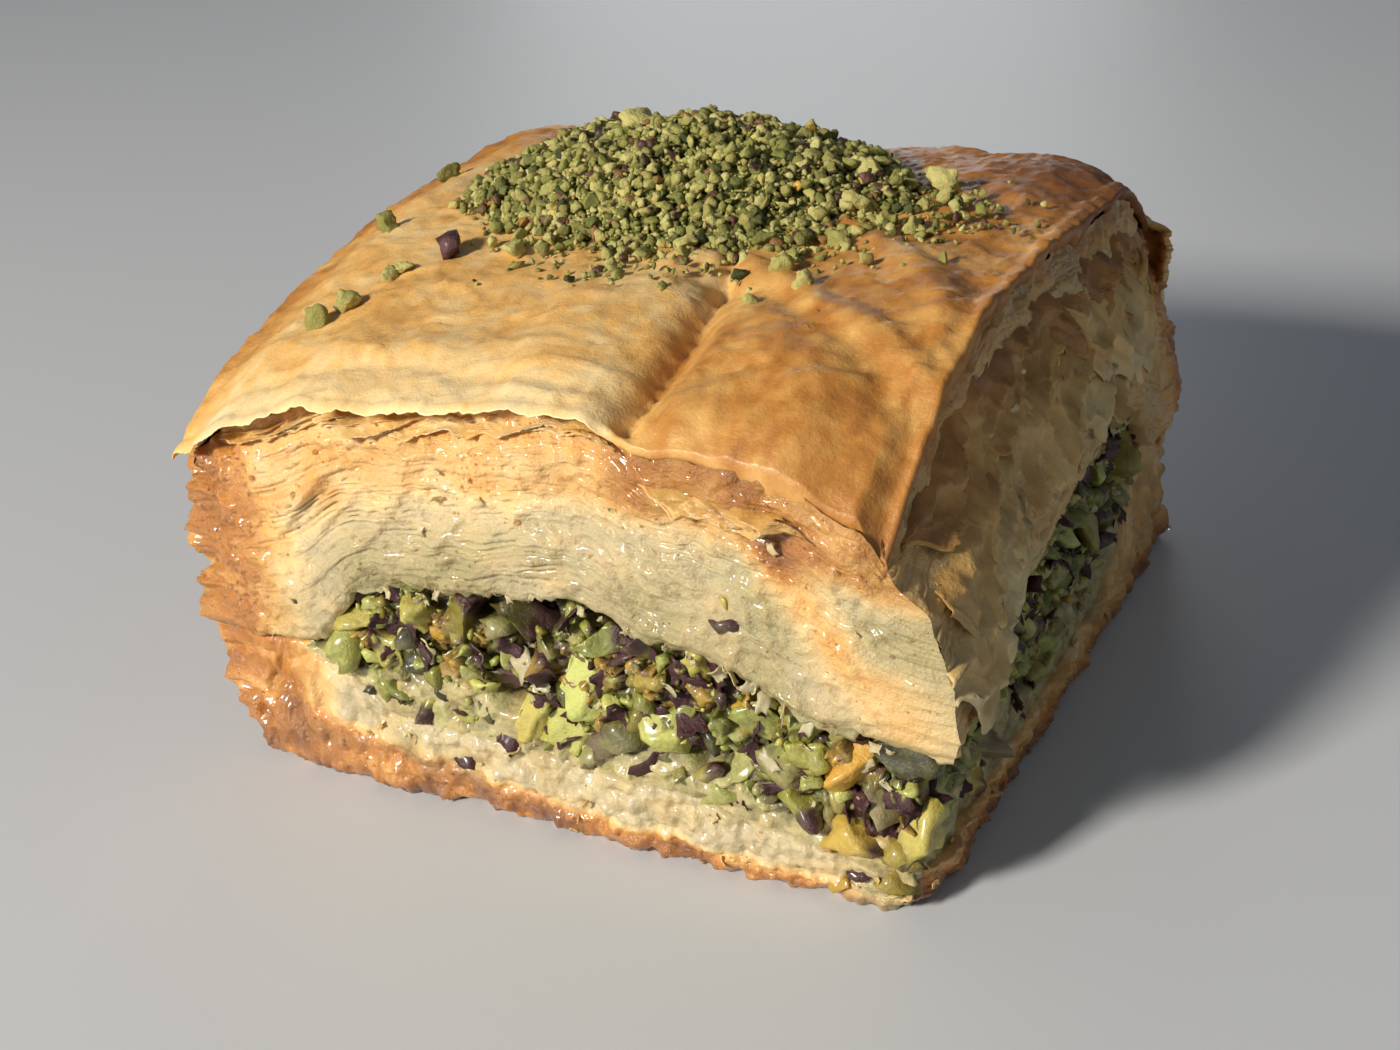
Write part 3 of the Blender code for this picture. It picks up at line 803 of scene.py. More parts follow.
@dataclass
class TopSheet:
    """The crisp browned sheet that lies over the stack, open along the front left."""

    form: LoafForm
    cells: int = 160
    hem: int = 10
    thickness: float = 0.09
    front_hang: Curve = ((0.0, 1.6), (0.1, 1.3), (0.5, 1.2), (0.65, 1.0), (0.7, 2.0), (0.85, 3.2), (1.0, 2.6))
    right_hang: Curve = ((0.0, 2.0), (0.15, 2.3), (0.5, 2.0), (0.8, 1.7), (1.0, 1.2))
    back_hang: Curve = ((0.0, 2.0), (0.5, 2.4), (1.0, 2.0))
    left_hang: Curve = ((0.0, 1.8), (0.4, 2.6), (1.0, 2.2))
    front_turn: Curve = ((0.0, 0.9), (0.12, 0.75), (0.6, 0.6), (0.69, 1.35), (1.0, 1.45))
    folds: tuple[Fold, ...] = (
        Fold(((4.0, -7.2), (10.9, -8.4), (18.7, -15.7), (23.2, -17.9), (29.3, -22.4)), 1.3, 0.55),
        Fold(((6.5, -10.5), (12.5, -12.0), (19.0, -18.2), (27.0, -24.0)), 1.4, -0.4),
        Fold(((14.4, 0.5), (20.8, -6.1), (26.2, -13.1), (29.7, -21.5)), 1.6, 0.5),
        Fold(((24.0, 8.0), (26.5, -2.0), (28.0, -12.0)), 1.2, -0.15),
        Fold(((-29.0, -24.5), (-12.0, -24.6), (1.0, -26.8), (8.0, -27.2)), 0.9, -0.28),
        Fold(((-28.0, -20.0), (-15.0, -22.0), (-2.0, -22.6)), 1.6, 0.28),
        Fold(((-4.0, -9.0), (-1.5, -17.0), (1.0, -27.0)), 1.8, 0.3),
        Fold(((6.6, -3.0), (8.4, -10.0), (9.3, -18.0), (9.6, -29.0)), 0.7, -0.8),
        Fold(((9.2, -6.0), (11.2, -13.0), (12.2, -21.0), (12.6, -28.0)), 1.3, 0.5),
        Fold(((12.0, -29.0), (13.0, -25.0), (17.0, -23.5)), 0.8, -0.3),
        Fold(((17.5, -30.0), (19.5, -25.5), (24.0, -23.0)), 0.7, 0.35),
        Fold(((29.8, -28.0), (30.0, -10.0), (30.4, 10.0), (31.0, 28.0)), 0.7, 0.3),
        Fold(((-30.0, 20.0), (-24.0, 27.0), (-14.0, 30.0)), 1.6, 0.7),
        Fold(((8.0, 29.0), (18.0, 24.0), (28.0, 23.0)), 1.5, 0.5),
        Fold(((-30.0, -4.0), (-24.0, 1.0), (-22.0, 10.0)), 1.6, -0.3),
    )

    syrup_pools: tuple = (
        ((13.5, -26.5), (2.6, 1.4)),
        ((20.5, -25.5), (1.6, 1.0)),
        ((22.0, 28.0), (7.0, 1.0)),
    )

    def crinkle(self, x: float, y: float) -> float:
        """Fine dry wrinkles of the sheet."""
        sharp = 1 - min(1.0, abs(wave(x * 0.2, y * 0.4, 4.0)) * 3.2)
        cross = 1 - min(1.0, abs(wave(x * 0.5, y * 0.28, 14.0)) * 3.6)
        skew = 1 - min(1.0, abs(wave(x * 0.9 + y * 0.4, y * 1.1, 31.0)) * 3.0)
        small = wave(x * 1.2, y * 1.2, 24.0) + 0.6 * wave(x * 2.8, y * 2.8, 2.0)
        crest = wave(y * 1.5, x * 0.12, 50.0) * ramp((x - 20.0) / 8.0)
        return 0.18 * sharp**3 + 0.13 * cross**3 + 0.1 * skew * skew + 0.08 * small + 0.12 * crest

    def hang(self, side: Side, along_side: float) -> float:
        """Length of sheet beyond an edge, ragged, at this share counted from the left or the front."""
        curve = {
            Side.FRONT: self.front_hang,
            Side.RIGHT: self.right_hang,
            Side.BACK: self.back_hang,
            Side.LEFT: self.left_hang,
        }[side]
        seed = list(Side).index(side) * 40.0
        low = 0.9 if side is Side.RIGHT else 0.35
        ragged = 1 + low * wave(along_side * 9.0, seed) + 0.25 * wave(along_side * 31.0, seed, 6.0)
        ragged += 0.14 * wave(along_side * 90.0, seed, 11.0)
        return along(curve, along_side) * ragged

    def turned(self, side: Side, along_side: float, run: float) -> tuple[float, float]:
        """How far out and down the sheet is at this run beyond an edge."""
        limit, radius = 1.35, 1.1
        if side is Side.FRONT:
            limit = along(self.front_turn, along_side)
            radius = 0.6 if limit > 1 else 1.7
        bend = min(run / radius, limit)
        straight = max(run - radius * limit, 0.0)
        out = radius * math.sin(bend) + straight * math.cos(limit)
        down = radius * (1 - math.cos(bend)) + straight * math.sin(limit)
        return out, down

    def edge_run(self, number: int) -> tuple[float, float, int]:
        """Share across the piece, and how far into the hem, for a column or row number."""
        inner = number - self.hem
        share = unit(inner / self.cells)
        beyond = (-inner if inner < 0 else max(inner - self.cells, 0)) / self.hem
        return share, beyond, -1 if inner < 0 else 1

    def place(self, column: int, row: int) -> tuple[Vector, Marks]:
        """Point of the sheet, with its hem turned over the edges."""
        form = self.form
        u, beyond_u, way_u = self.edge_run(column)
        v, beyond_v, way_v = self.edge_run(row)
        point = form.plan(u, v)
        x, y = point.x - form.centring[0], point.y - form.centring[1]
        top = form.top(u, v)
        z = top + 0.05 + self.crinkle(x, y) + sum(fold.at(x, y) for fold in self.folds)
        z -= form.rolled(u, v * form.depth)
        shift = Vector((0.0, 0.0))
        for side, distance in (
            (Side.LEFT, u * form.width),
            (Side.RIGHT, (1 - u) * form.width),
            (Side.FRONT, v * form.depth),
            (Side.BACK, (1 - v) * form.depth),
        ):
            if distance < 4.0:
                shift += side.outward * form.upper_stand_out(side, u, v, top - 0.5) * ramp(1 - distance / 4.0)
        down = 0.0
        for beyond, way, sides, along_side in (
            (beyond_u, way_u, (Side.LEFT, Side.RIGHT), v),
            (beyond_v, way_v, (Side.FRONT, Side.BACK), u),
        ):
            if beyond > 0:
                side = sides[0] if way < 0 else sides[1]
                out, fall = self.turned(side, along_side, beyond * self.hang(side, along_side))
                flutter = 0.35 * wave(x * 0.5, y * 0.5, 40.0) + 0.2 * wave(x * 1.4, y * 1.4, 44.0)
                clings = {Side.FRONT: ramp((u - 0.65) / 0.04), Side.RIGHT: 0.7}.get(side, 0.0)
                out = (out + flutter * beyond) * (1 - 0.7 * clings) - 1.2 * clings * beyond**3
                shift += side.outward * out
                down = math.hypot(down, fall)
        marks = self.marks(x, y, u, v, beyond_u, beyond_v)
        return Vector((point.x + shift.x, point.y + shift.y, z - down)), marks

    def marks(self, x: float, y: float, u: float, v: float, beyond_u: float, beyond_v: float) -> Marks:
        """Marks of a point: browner right of the crease, partly from syrup and partly as painted shade;
        painted shade in the crease and towards the far and back right; paler and lighter near the front left
        as painted light where it turns down to face the lamp.
        """
        # front_light: how near the front edge, where painted light makes the sheet paler and lighter.
        front_light = ramp(1 - v * self.form.depth / 8.0)
        right_of_crease = ramp((x - 8.5) / 4.0)
        # crease_shade: painted shade along the crease of the sheet.
        crease_shade = math.exp(-(((x - 9.3) / 1.1) ** 2)) * ramp((-2.0 - y) / 8.0)
        # Right of the crease the sheet is browner, partly from syrup showing through and partly as painted
        # shade where it tilts away from the light.
        bake = 0.47 + 0.18 * right_of_crease + 0.12 * wave(x * 0.09, y * 0.12, 9.0)
        bake += 0.2 * ramp((y - 8.0) / 12.0)
        bake += 0.16 * wave(x * 0.3, y * 0.3, 19.0) + 0.1 * wave(x * 0.9, y * 0.9, 29.0)
        # Painted shade: darker in the crease, at the far right and towards the back right, where the sheet
        # tilts away from the light.
        bake += (0.16 * crease_shade + 0.1 * ramp((x - 18.0) / 8.0)
                 + 0.14 * ramp((x - 14.0) / 8.0) * ramp((y - 2.0) / 10.0))
        # Painted light: paler near the front left edge, which bends to face the lamp; the front right hem is
        # made a little paler too.
        bake -= 0.2 * front_light * (1 - right_of_crease) + 0.06 * ramp(beyond_v * 1.6) * right_of_crease
        bake += 0.14 * beyond_u + 0.2 * ramp((-26.0 - x) / 4.0)
        wet = sum(bump(x, y, centre, widths, 1.0) for centre, widths in self.syrup_pools)
        # Painted light: lighter tone near the front left edge, which faces the lamp.
        tone = 0.55 + 0.55 * front_light * (1 - right_of_crease)
        return sheet_marks(bake, 0.0, tone, min(wet + 0.7 * beyond_v * right_of_crease, 1.0))

    def build(self, finish: Material) -> list[Piece]:
        """Makes and dresses the sheet, which stands for the upper stack's solid."""
        count = self.cells + 2 * self.hem
        bm = shaped_grid(count, count, self.place, FILO_MARKS)
        piece = thin_sheet(bm, "top_sheet", self.thickness, finish)
        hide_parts("filo_top")
        return [piece]


def thin_sheet(bm: bmesh.types.BMesh, name: str, thickness: float, finish: Material) -> Piece:
    """Turns an open grid into a dressed sheet of this thickness in millimetres."""
    piece = finish_piece(bm, name, finish)
    solid = piece.modifiers.new("thickness", "SOLIDIFY")
    solid.thickness = thickness * MM
    solid.offset = -1.0
    return piece


FLAKE_CELLS = (6, 5)


def curled_flakes(name: str, spots: Sequence[tuple[Vector, Side, float, Marks]], seed: int,
                  thickness: float, finish: Material) -> Piece:
    """Makes and dresses small curled flakes as one piece.

    Args:
        name: Name of the piece.
        spots: Place, wall that it faces, size and marks of each flake.
        seed: Seed of the random draw.
        thickness: Thickness in millimetres.
        finish: Their finish.

    Returns:
        The piece.
    """
    rng = random.Random(seed)
    bm = bmesh.new()
    layers = mark_layers(bm, spots[0][3])
    for place, side, size, marks in spots:
        made = bmesh.ops.create_grid(bm, x_segments=FLAKE_CELLS[0], y_segments=FLAKE_CELLS[1], size=1.0)
        facing = Vector((*side.outward, 0.0)) + Vector([rng.gauss(0, 0.5) for _ in range(3)])
        spun = Matrix.Rotation(rng.uniform(0, math.tau), 3, "Z")
        turned = facing.to_track_quat("Z", "Y").to_matrix() @ spun
        bend, offset, narrow = rng.uniform(-0.5, 0.5), rng.uniform(0, 90), rng.uniform(0.35, 0.8)
        for vert in made["verts"]:
            x, y, _ = vert.co
            ragged = 1 + 0.6 * wave(x * 1.4 + offset, y * 1.4) + 0.3 * wave(x * 4.0, y * 4.0 + offset)
            z = bend * x * x + 0.3 * wave(x * 1.3, y * 1.3, offset)
            vert.co = place + turned @ Vector((x * ragged, y * ragged * narrow, z)) * size
            vert.co.z = max(vert.co.z, 0.15)
            for mark, value in marks.items():
                vert[layers[mark]] = value
    return thin_sheet(bm, name, thickness, finish)


@dataclass(frozen=True)
class HangingSheet:
    """A torn sheet that hangs from the stack over a cut, between two shares of the wall."""

    name: str
    side: Side
    first: float
    last: float
    below_top: Curve
    length: Curve
    stand_off: float
    bake: float
    soak: float
    seed: float


@dataclass
class HangingSheets:
    """The torn sheets that hang over both cuts."""

    form: LoafForm
    rows: int = 24
    cells_per_mm: float = 4.0
    thickness: float = 0.1
    sheets: tuple[HangingSheet, ...] = (
        HangingSheet("under_flap", Side.FRONT, 0.07, 0.66, ((0.0, 1.2), (1.0, 1.2)),
                     ((0.0, 0.8), (0.3, 1.3), (0.6, 1.0)), 0.25, 0.5, 0.0, 11.0),
        HangingSheet("front_torn_sheet", Side.FRONT, 0.69, 0.87, ((0.7, 2.3), (0.87, 3.2)),
                     ((0.69, 1.2), (0.75, 2.4), (0.87, 1.6)), 0.5, 0.58, 0.0, 61.0),
        HangingSheet("right_crest_sheet", Side.RIGHT, 0.03, 0.9, ((0.0, 2.2), (1.0, 2.0)),
                     ((0.0, 4.0), (0.3, 6.5), (0.6, 6.0), (0.85, 7.0), (1.0, 4.0)), 0.7, 0.72, 0.1, 31.0),
        HangingSheet("right_middle_sheet", Side.RIGHT, 0.03, 0.66, ((0.0, 5.0), (0.5, 5.5), (1.0, 6.0)),
                     ((0.0, 8.0), (0.3, 9.5), (0.7, 8.0)), 0.9, 0.55, 0.35, 37.0),
        HangingSheet("right_back_sheet", Side.RIGHT, 0.5, 0.84, ((0.0, 4.0), (1.0, 3.5)),
                     ((0.5, 7.0), (0.8, 10.0), (1.0, 6.0)), 1.2, 0.5, 0.15, 43.0),
        HangingSheet("right_low_sheet", Side.RIGHT, 0.0, 0.3, ((0.0, 9.0), (0.5, 9.5)),
                     ((0.0, 7.0), (0.2, 8.0), (0.4, 5.0)), 0.6, 0.35, 0.4, 49.0),
    )

    def sheet(self, one: HangingSheet, finish: Material) -> Piece:
        """Makes and dresses one sheet.

        Args:
            one: Where it hangs.
            finish: Its finish.

        Returns:
            The piece.
        """
        form = self.form
        run = (one.last - one.first) * form.length(one.side)
        columns = round(run * self.cells_per_mm)

        def place(column: int, row: int) -> tuple[Vector, Marks]:
            fallen = 1 - row / self.rows
            torn = 0.05 * wave(fallen * 2.4, one.seed) + 0.02 * wave(fallen * 9.0, one.seed)
            share = min(one.first + (one.last - one.first + torn) * column / columns, 0.99)
            u, v = one.side.place(share)
            base = form.plan(u, v)
            way = share * form.length(one.side)
            to_end = min(column, columns - column) / self.cells_per_mm
            ragged = 1 + 0.4 * wave(way * 0.16, one.seed) + 0.2 * wave(way * 0.6, one.seed + 3.0)
            ragged += 0.07 * wave(way * 2.2, one.seed + 7.0)
            fall = along(one.length, share) * max(ragged, 0.2) * (0.3 + 0.7 * ramp(to_end / 3.5))
            below_top = along(one.below_top, share) + fall * fallen
            top = form.top(u, v)
            if one.side is Side.FRONT:
                top -= form.rolled(u, 0.0)
            out = -0.5 + (one.stand_off + 0.5) * ramp(fallen * 2.2 + 0.1)
            out += (0.7 * wave_at(base, 0.22, one.seed + fallen) * fallen
                    + 0.45 * wave(way * 0.55 + 2 * fallen, fallen * 1.6, one.seed)
                    + 0.1 * wave(way * 2.4 + 6 * fallen, fallen * 9.0, one.seed))
            folded = 1 - min(1.0, abs(wave(way * 0.16 + fallen, fallen * 1.2, one.seed + 5.0)) * 4.0)
            creased = 1 - min(1.0, abs(wave(way * 0.5 - fallen * 2, fallen * 2.4, one.seed + 8.0)) * 3.4)
            out += (0.8 * folded * folded + 0.4 * creased * creased) * ramp(fallen * 3)
            out *= 0.4 + 0.6 * ramp(to_end / 2.0)
            if one.side is Side.FRONT:
                out -= form.under_flap(u, below_top)
            point = form.wall_point(one.side, share, top - below_top, form.upper_stand_out, out)
            bake = one.bake + 0.2 * (0.5 - fallen) + 0.24 * wave_at(base, 0.3, fallen * 2 + one.seed)
            tone = 0.5 + 1.2 * wave(way * 0.4, fallen, one.seed)
            return point, sheet_marks(bake, one.soak * fallen, tone, 0.5)

        bm = shaped_grid(columns, self.rows, place, FILO_MARKS)
        return thin_sheet(bm, one.name, self.thickness, finish)

    def build(self, finish: Material) -> list[Piece]:
        """Makes and dresses all the hanging sheets."""
        return [self.sheet(one, finish) for one in self.sheets]


@dataclass
class BackCornerCrust:
    """The browned skin of the back side where it stands past the right cut, and the leaf above it."""

    form: LoafForm
    columns: int = 14
    rows: int = 80
    crust_heights: tuple[float, float] = (6.0, 27.5)
    crust_reach: float = 2.4
    leaf_heights: tuple[float, float] = (24.0, 30.6)
    leaf_reach: float = 3.2
    thickness: float = 0.5

    def strip(self, name: str, heights: tuple[float, float], reach: float, curl: float, bake: float,
              seed: float, finish: Material) -> Piece:
        """One upright strip that starts inside the back right corner and ends in a serrated edge.

        Args:
            name: Name of the piece.
            heights: Its lowest and highest height.
            reach: How far it stands out to the right.
            curl: How far its edge curls forward.
            bake: How browned it is.
            seed: Offset of its unevenness.
            finish: Its finish.

        Returns:
            The piece.
        """
        corner = self.form.plan(1.0, 1.0)

        def place(column: int, row: int) -> tuple[Vector, Marks]:
            across = 1 - column / self.columns
            up = row / self.rows
            z = heights[0] + (heights[1] - heights[0]) * up
            ends = ramp(min(up, 1 - up) / 0.16)
            torn = 1 + 0.16 * wave(z * 0.3, seed) + 0.12 * wave(z * 1.3, seed + 4.0)
            torn += 0.06 * wave(z * 3.6, seed + 8.0)
            stand = reach * torn * (0.35 + 0.65 * ends) * across
            x = corner.x - 1.6 + stand + along(self.form.back_profile, z) * 0.3
            y = corner.y + 0.1 - curl * across * across + 0.3 * wave(z * 0.4, across * 2.0, seed)
            z += 0.5 * wave(across * 3.0, seed, 1.0) * (1 if up > 0.5 else -1)
            shade = bake - 0.35 * ramp((across - 0.72) / 0.28) + 0.2 * wave(z * 0.6, across * 2.0, seed)
            return Vector((x, y, z)), sheet_marks(shade, 0.0, 0.5 + 0.4 * wave(z * 0.9, seed), 0.7)

        bm = shaped_grid(self.columns, self.rows, place, FILO_MARKS)
        return thin_sheet(bm, name, self.thickness, finish)

    def build(self, finish: Material) -> list[Piece]:
        """Makes and dresses the crust and the leaf."""
        return [
            self.strip("back_corner_crust", self.crust_heights, self.crust_reach, 0.4, 0.74, 5.0, finish),
            self.strip("back_corner_leaf", self.leaf_heights, self.leaf_reach, 1.8, 0.8, 15.0, finish),
        ]


@dataclass
class TornFlakes:
    """Small pale flakes torn from the sheets by the knife."""

    form: LoafForm
    seed: int = 31
    thickness: float = 0.07
    roof_heroes: tuple[tuple[float, float], ...] = (
        (17.6, 0.8), (18.8, 0.9), (20.2, 0.8), (22.0, 0.7), (15.4, 0.6), (-9.5, 0.6),
    )
    filling_heroes: tuple[tuple[float, float, float], ...] = (
        (-1.2, 13.9, 1.1), (0.0, 12.6, 0.8), (-9.6, 13.6, 0.8), (18.4, 10.4, 0.9), (11.0, 14.6, 0.7),
    )

    def on_wall(self, side: Side, share: float, z: float, stand: float) -> Vector:
        """Point in front of a wall of the footprint."""
        u, v = side.place(share)
        point = self.form.plan(u, v) + side.outward * stand
        return Vector((point.x, point.y, z))

    def places(self, rng: random.Random) -> list[tuple[Vector, Side, float, float]]:
        """Places, walls, sizes and bakes of the flakes."""
        form = self.form
        found = []
        for x, size in self.roof_heroes:
            share = (x + 31.0) / form.width
            roof = form.nut_layer(share, 0.0)[1]
            found.append((self.on_wall(Side.FRONT, share, roof - 0.2, 0.7), Side.FRONT, size, 0.02))
        for x, z, size in self.filling_heroes:
            found.append((self.on_wall(Side.FRONT, (x + 31.0) / form.width, z, 0.1), Side.FRONT, size, 0.02))
        for _ in range(170):
            side = rng.choice((Side.FRONT, Side.RIGHT))
            share = rng.uniform(0.22, 0.99) if side is Side.FRONT else rng.uniform(0.02, 0.8)
            u, v = side.place(share)
            floor, roof = form.nut_layer(u, v)
            kind = rng.random()
            if kind < 0.3:
                z, stand, size, bake = roof + rng.uniform(-0.4, 0.5), 0.4, rng.uniform(0.25, 0.55), 0.1
            elif kind < 0.6:
                z, stand, size, bake = rng.uniform(floor, roof - 1.0), 0.0, rng.uniform(0.2, 0.5), 0.1
            elif kind < 0.8:
                z = rng.uniform(roof + 1.0, form.top(u, v) - 5.0)
                stand, size, bake = 0.7, rng.uniform(0.2, 0.5), 0.2
            else:
                z, stand = rng.uniform(1.0, floor), 0.4
                size, bake = rng.uniform(0.25, 0.6), rng.uniform(0.2, 0.6)
            found.append((self.on_wall(side, share, z, stand), side, size, bake))
        for _ in range(60):
            side = rng.choice((Side.LEFT, Side.BACK))
            share = rng.random()
            z = rng.uniform(2.0, 30.0)
            stand = form.upper_stand_out(side, *side.place(share), z) + 0.3
            size, bake = rng.uniform(0.5, 1.4), rng.uniform(0.4, 0.8)
            found.append((self.on_wall(side, share, z, stand), side, size, bake))
        return found

    def build(self, finish: Material) -> list[Piece]:
        """Makes and dresses all the flakes as one piece."""
        rng = random.Random(self.seed)
        found = self.places(rng)
        spots = [(place, side, size, sheet_marks(bake, 0.3, 0.5, 0.3)) for place, side, size, bake in found]
        return [curled_flakes("torn_flakes", spots, self.seed, self.thickness, finish)]


@dataclass
class SyrupBeads:
    """Beads of syrup that stand on the wettest places of the walls."""

    seed: int = 57
    count: int = 2800
    sizes: tuple[float, float] = (0.04, 0.14)

    def build(self, walls: Sequence[Piece], finish: Material) -> list[Piece]:
        """Makes and dresses the beads.

        Args:
            walls: The pieces that they stand on.
            finish: Their finish.

        Returns:
            The beads as one piece.
        """
        rng = random.Random(self.seed)
        places = []
        for wall in walls:
            mesh = wall.data
            corners = np.zeros(len(mesh.vertices) * 3)
            mesh.vertices.foreach_get("co", corners)
            wet = np.zeros(len(mesh.vertices))
            mesh.attributes["wet"].data.foreach_get("value", wet)
            share = round(self.count * len(mesh.vertices) / sum(len(w.data.vertices) for w in walls))
            weights = np.clip(wet, 0.0, 1.0) ** 4 + 0.03
            picked = rng.choices(range(len(wet)), weights=weights.tolist(), k=share)
            places += [corners.reshape(-1, 3)[i] for i in picked]
        bm = bmesh.new()
        for place in places:
            radius = rng.uniform(*self.sizes) * (2.2 if rng.random() < 0.05 else 1.0) * MM
            centre = Vector((place[0], place[1], max(place[2], radius)))
            turned = Matrix.Translation(centre) @ Matrix.Rotation(rng.uniform(0, math.tau), 4, "Z")
            bmesh.ops.create_icosphere(bm, subdivisions=1, radius=radius, matrix=turned)
        bmesh.ops.scale(bm, vec=(1 / MM, 1 / MM, 1 / MM), verts=bm.verts)
        return [finish_piece(bm, "syrup_beads", finish)]


@dataclass(frozen=True)
class Crumb:
    """A broken piece of nut: where it lies, its size, how pale and how golden it is."""

    place: Vector
    radius: float
    tone: float
    gold: float = 0.2
    stretch: tuple[float, float, float] = (1.25, 0.95, 0.75)
    skin: float = 0.0
    mush: float = 0.0


class Grit(Enum):
    """How finely a broken nut is made: how often its ball is divided, and how rough it is."""

    FINE = (1, 0.5)
    MEDIUM = (2, 0.4)
    LARGE = (3, 0.34)


BREAKS = 7
BREAK_DEPTHS = (0.42, 0.8)
SHAPE_KINDS = 14


def broken_shapes(grit: Grit, count: int, seed: int) -> list[tuple[np.ndarray, np.ndarray]]:
    """Unit shapes of broken nuts: rough balls with broken faces.

    Args:
        grit: How finely they are made.
        count: How many different shapes.
        seed: Seed of the random draw.

    Returns:
        Corner places and triangles of each shape.
    """
    rng = random.Random(seed)
    shapes = []
    divided, rough = grit.value
    for _ in range(count):
        bm = bmesh.new()
        bmesh.ops.create_icosphere(bm, subdivisions=divided, radius=1.1)
        offset = Vector((rng.uniform(0, 50), 0, 0))
        breaks = [
            (Vector([rng.gauss(0, 1) for _ in range(3)]).normalized(), rng.uniform(*BREAK_DEPTHS))
            for _ in range(BREAKS)
        ]
        for vert in bm.verts:
            for facing, away in breaks:
                vert.co -= facing * max(0.0, vert.co.dot(facing) - away)
            uneven = noise.noise(vert.co * 1.3 + offset) + 0.7 * noise.noise(vert.co * 3.1 + offset)
            uneven += 0.5 * noise.noise(vert.co * 7.0 + offset)
            vert.co *= 1 + rough * uneven
        mesh = bpy.data.meshes.new("shape")
        bm.to_mesh(mesh)
        bm.free()
        corners = np.zeros(len(mesh.vertices) * 3)
        mesh.vertices.foreach_get("co", corners)
        faces = np.zeros(len(mesh.polygons) * 3, dtype=np.int32)
        mesh.polygons.foreach_get("vertices", faces)
        shapes.append((corners.reshape(-1, 3), faces.reshape(-1, 3)))
        bpy.data.meshes.remove(mesh)
    return shapes


def turn(rng: random.Random) -> np.ndarray:
    """A random turn as a 3 by 3 array."""
    axis = Vector((rng.gauss(0, 1), rng.gauss(0, 1), rng.gauss(0, 1)))
    return np.array(Matrix.Rotation(rng.uniform(0, math.tau), 3, axis))


def joined_crumbs(name: str, crumbs: Sequence[Crumb], grit: Grit, seed: int, finish: Material,
                  skinned: float = 0.0) -> Piece:
    """Joins copies of broken shapes into one dressed piece.

    Args:
        name: Name of the piece.
        crumbs: Where each copy lies.
        grit: How finely the shapes are made.
        seed: Seed of the random draw.
        finish: Their finish.
        skinned: Share of the copies that keep some dark skin on one side.

    Returns:
        The piece, with each copy's tone and skin as marks.
    """
    rng = random.Random(seed)
    shapes = broken_shapes(grit, SHAPE_KINDS, seed)
    corners, faces = [], []
    marks: dict[str, list[np.ndarray]] = {name: [] for name in NUT_MARKS}
    total = 0
    for crumb in crumbs:
        shape, triangles = rng.choice(shapes)
        placed = (shape * np.array(crumb.stretch) * crumb.radius) @ turn(rng).T + np.array(crumb.place)
        corners.append(placed * MM)
        faces.append(triangles + total)
        edge = rng.uniform(0.1, 0.7) if rng.random() < skinned else 2.0
        marks["tone"].append(np.full(len(shape), crumb.tone))
        marks["gold"].append(np.full(len(shape), crumb.gold))
        risen = (placed[:, 2] - crumb.place.z) / crumb.radius
        marks["mush"].append(np.clip(crumb.mush - 0.5 * risen, 0.0, crumb.mush))
        marks["skin"].append(np.clip((shape[:, 0] - edge) / 0.12, crumb.skin, 1.0))
        total += len(shape)
    mesh = bpy.data.meshes.new(name)
    mesh.from_pydata(np.concatenate(corners).tolist(), [], np.concatenate(faces).tolist())
    for mark, values in marks.items():
        mesh.attributes.new(mark, "FLOAT", "POINT").data.foreach_set("value", np.concatenate(values))
    return riding_piece(mesh, name, finish)


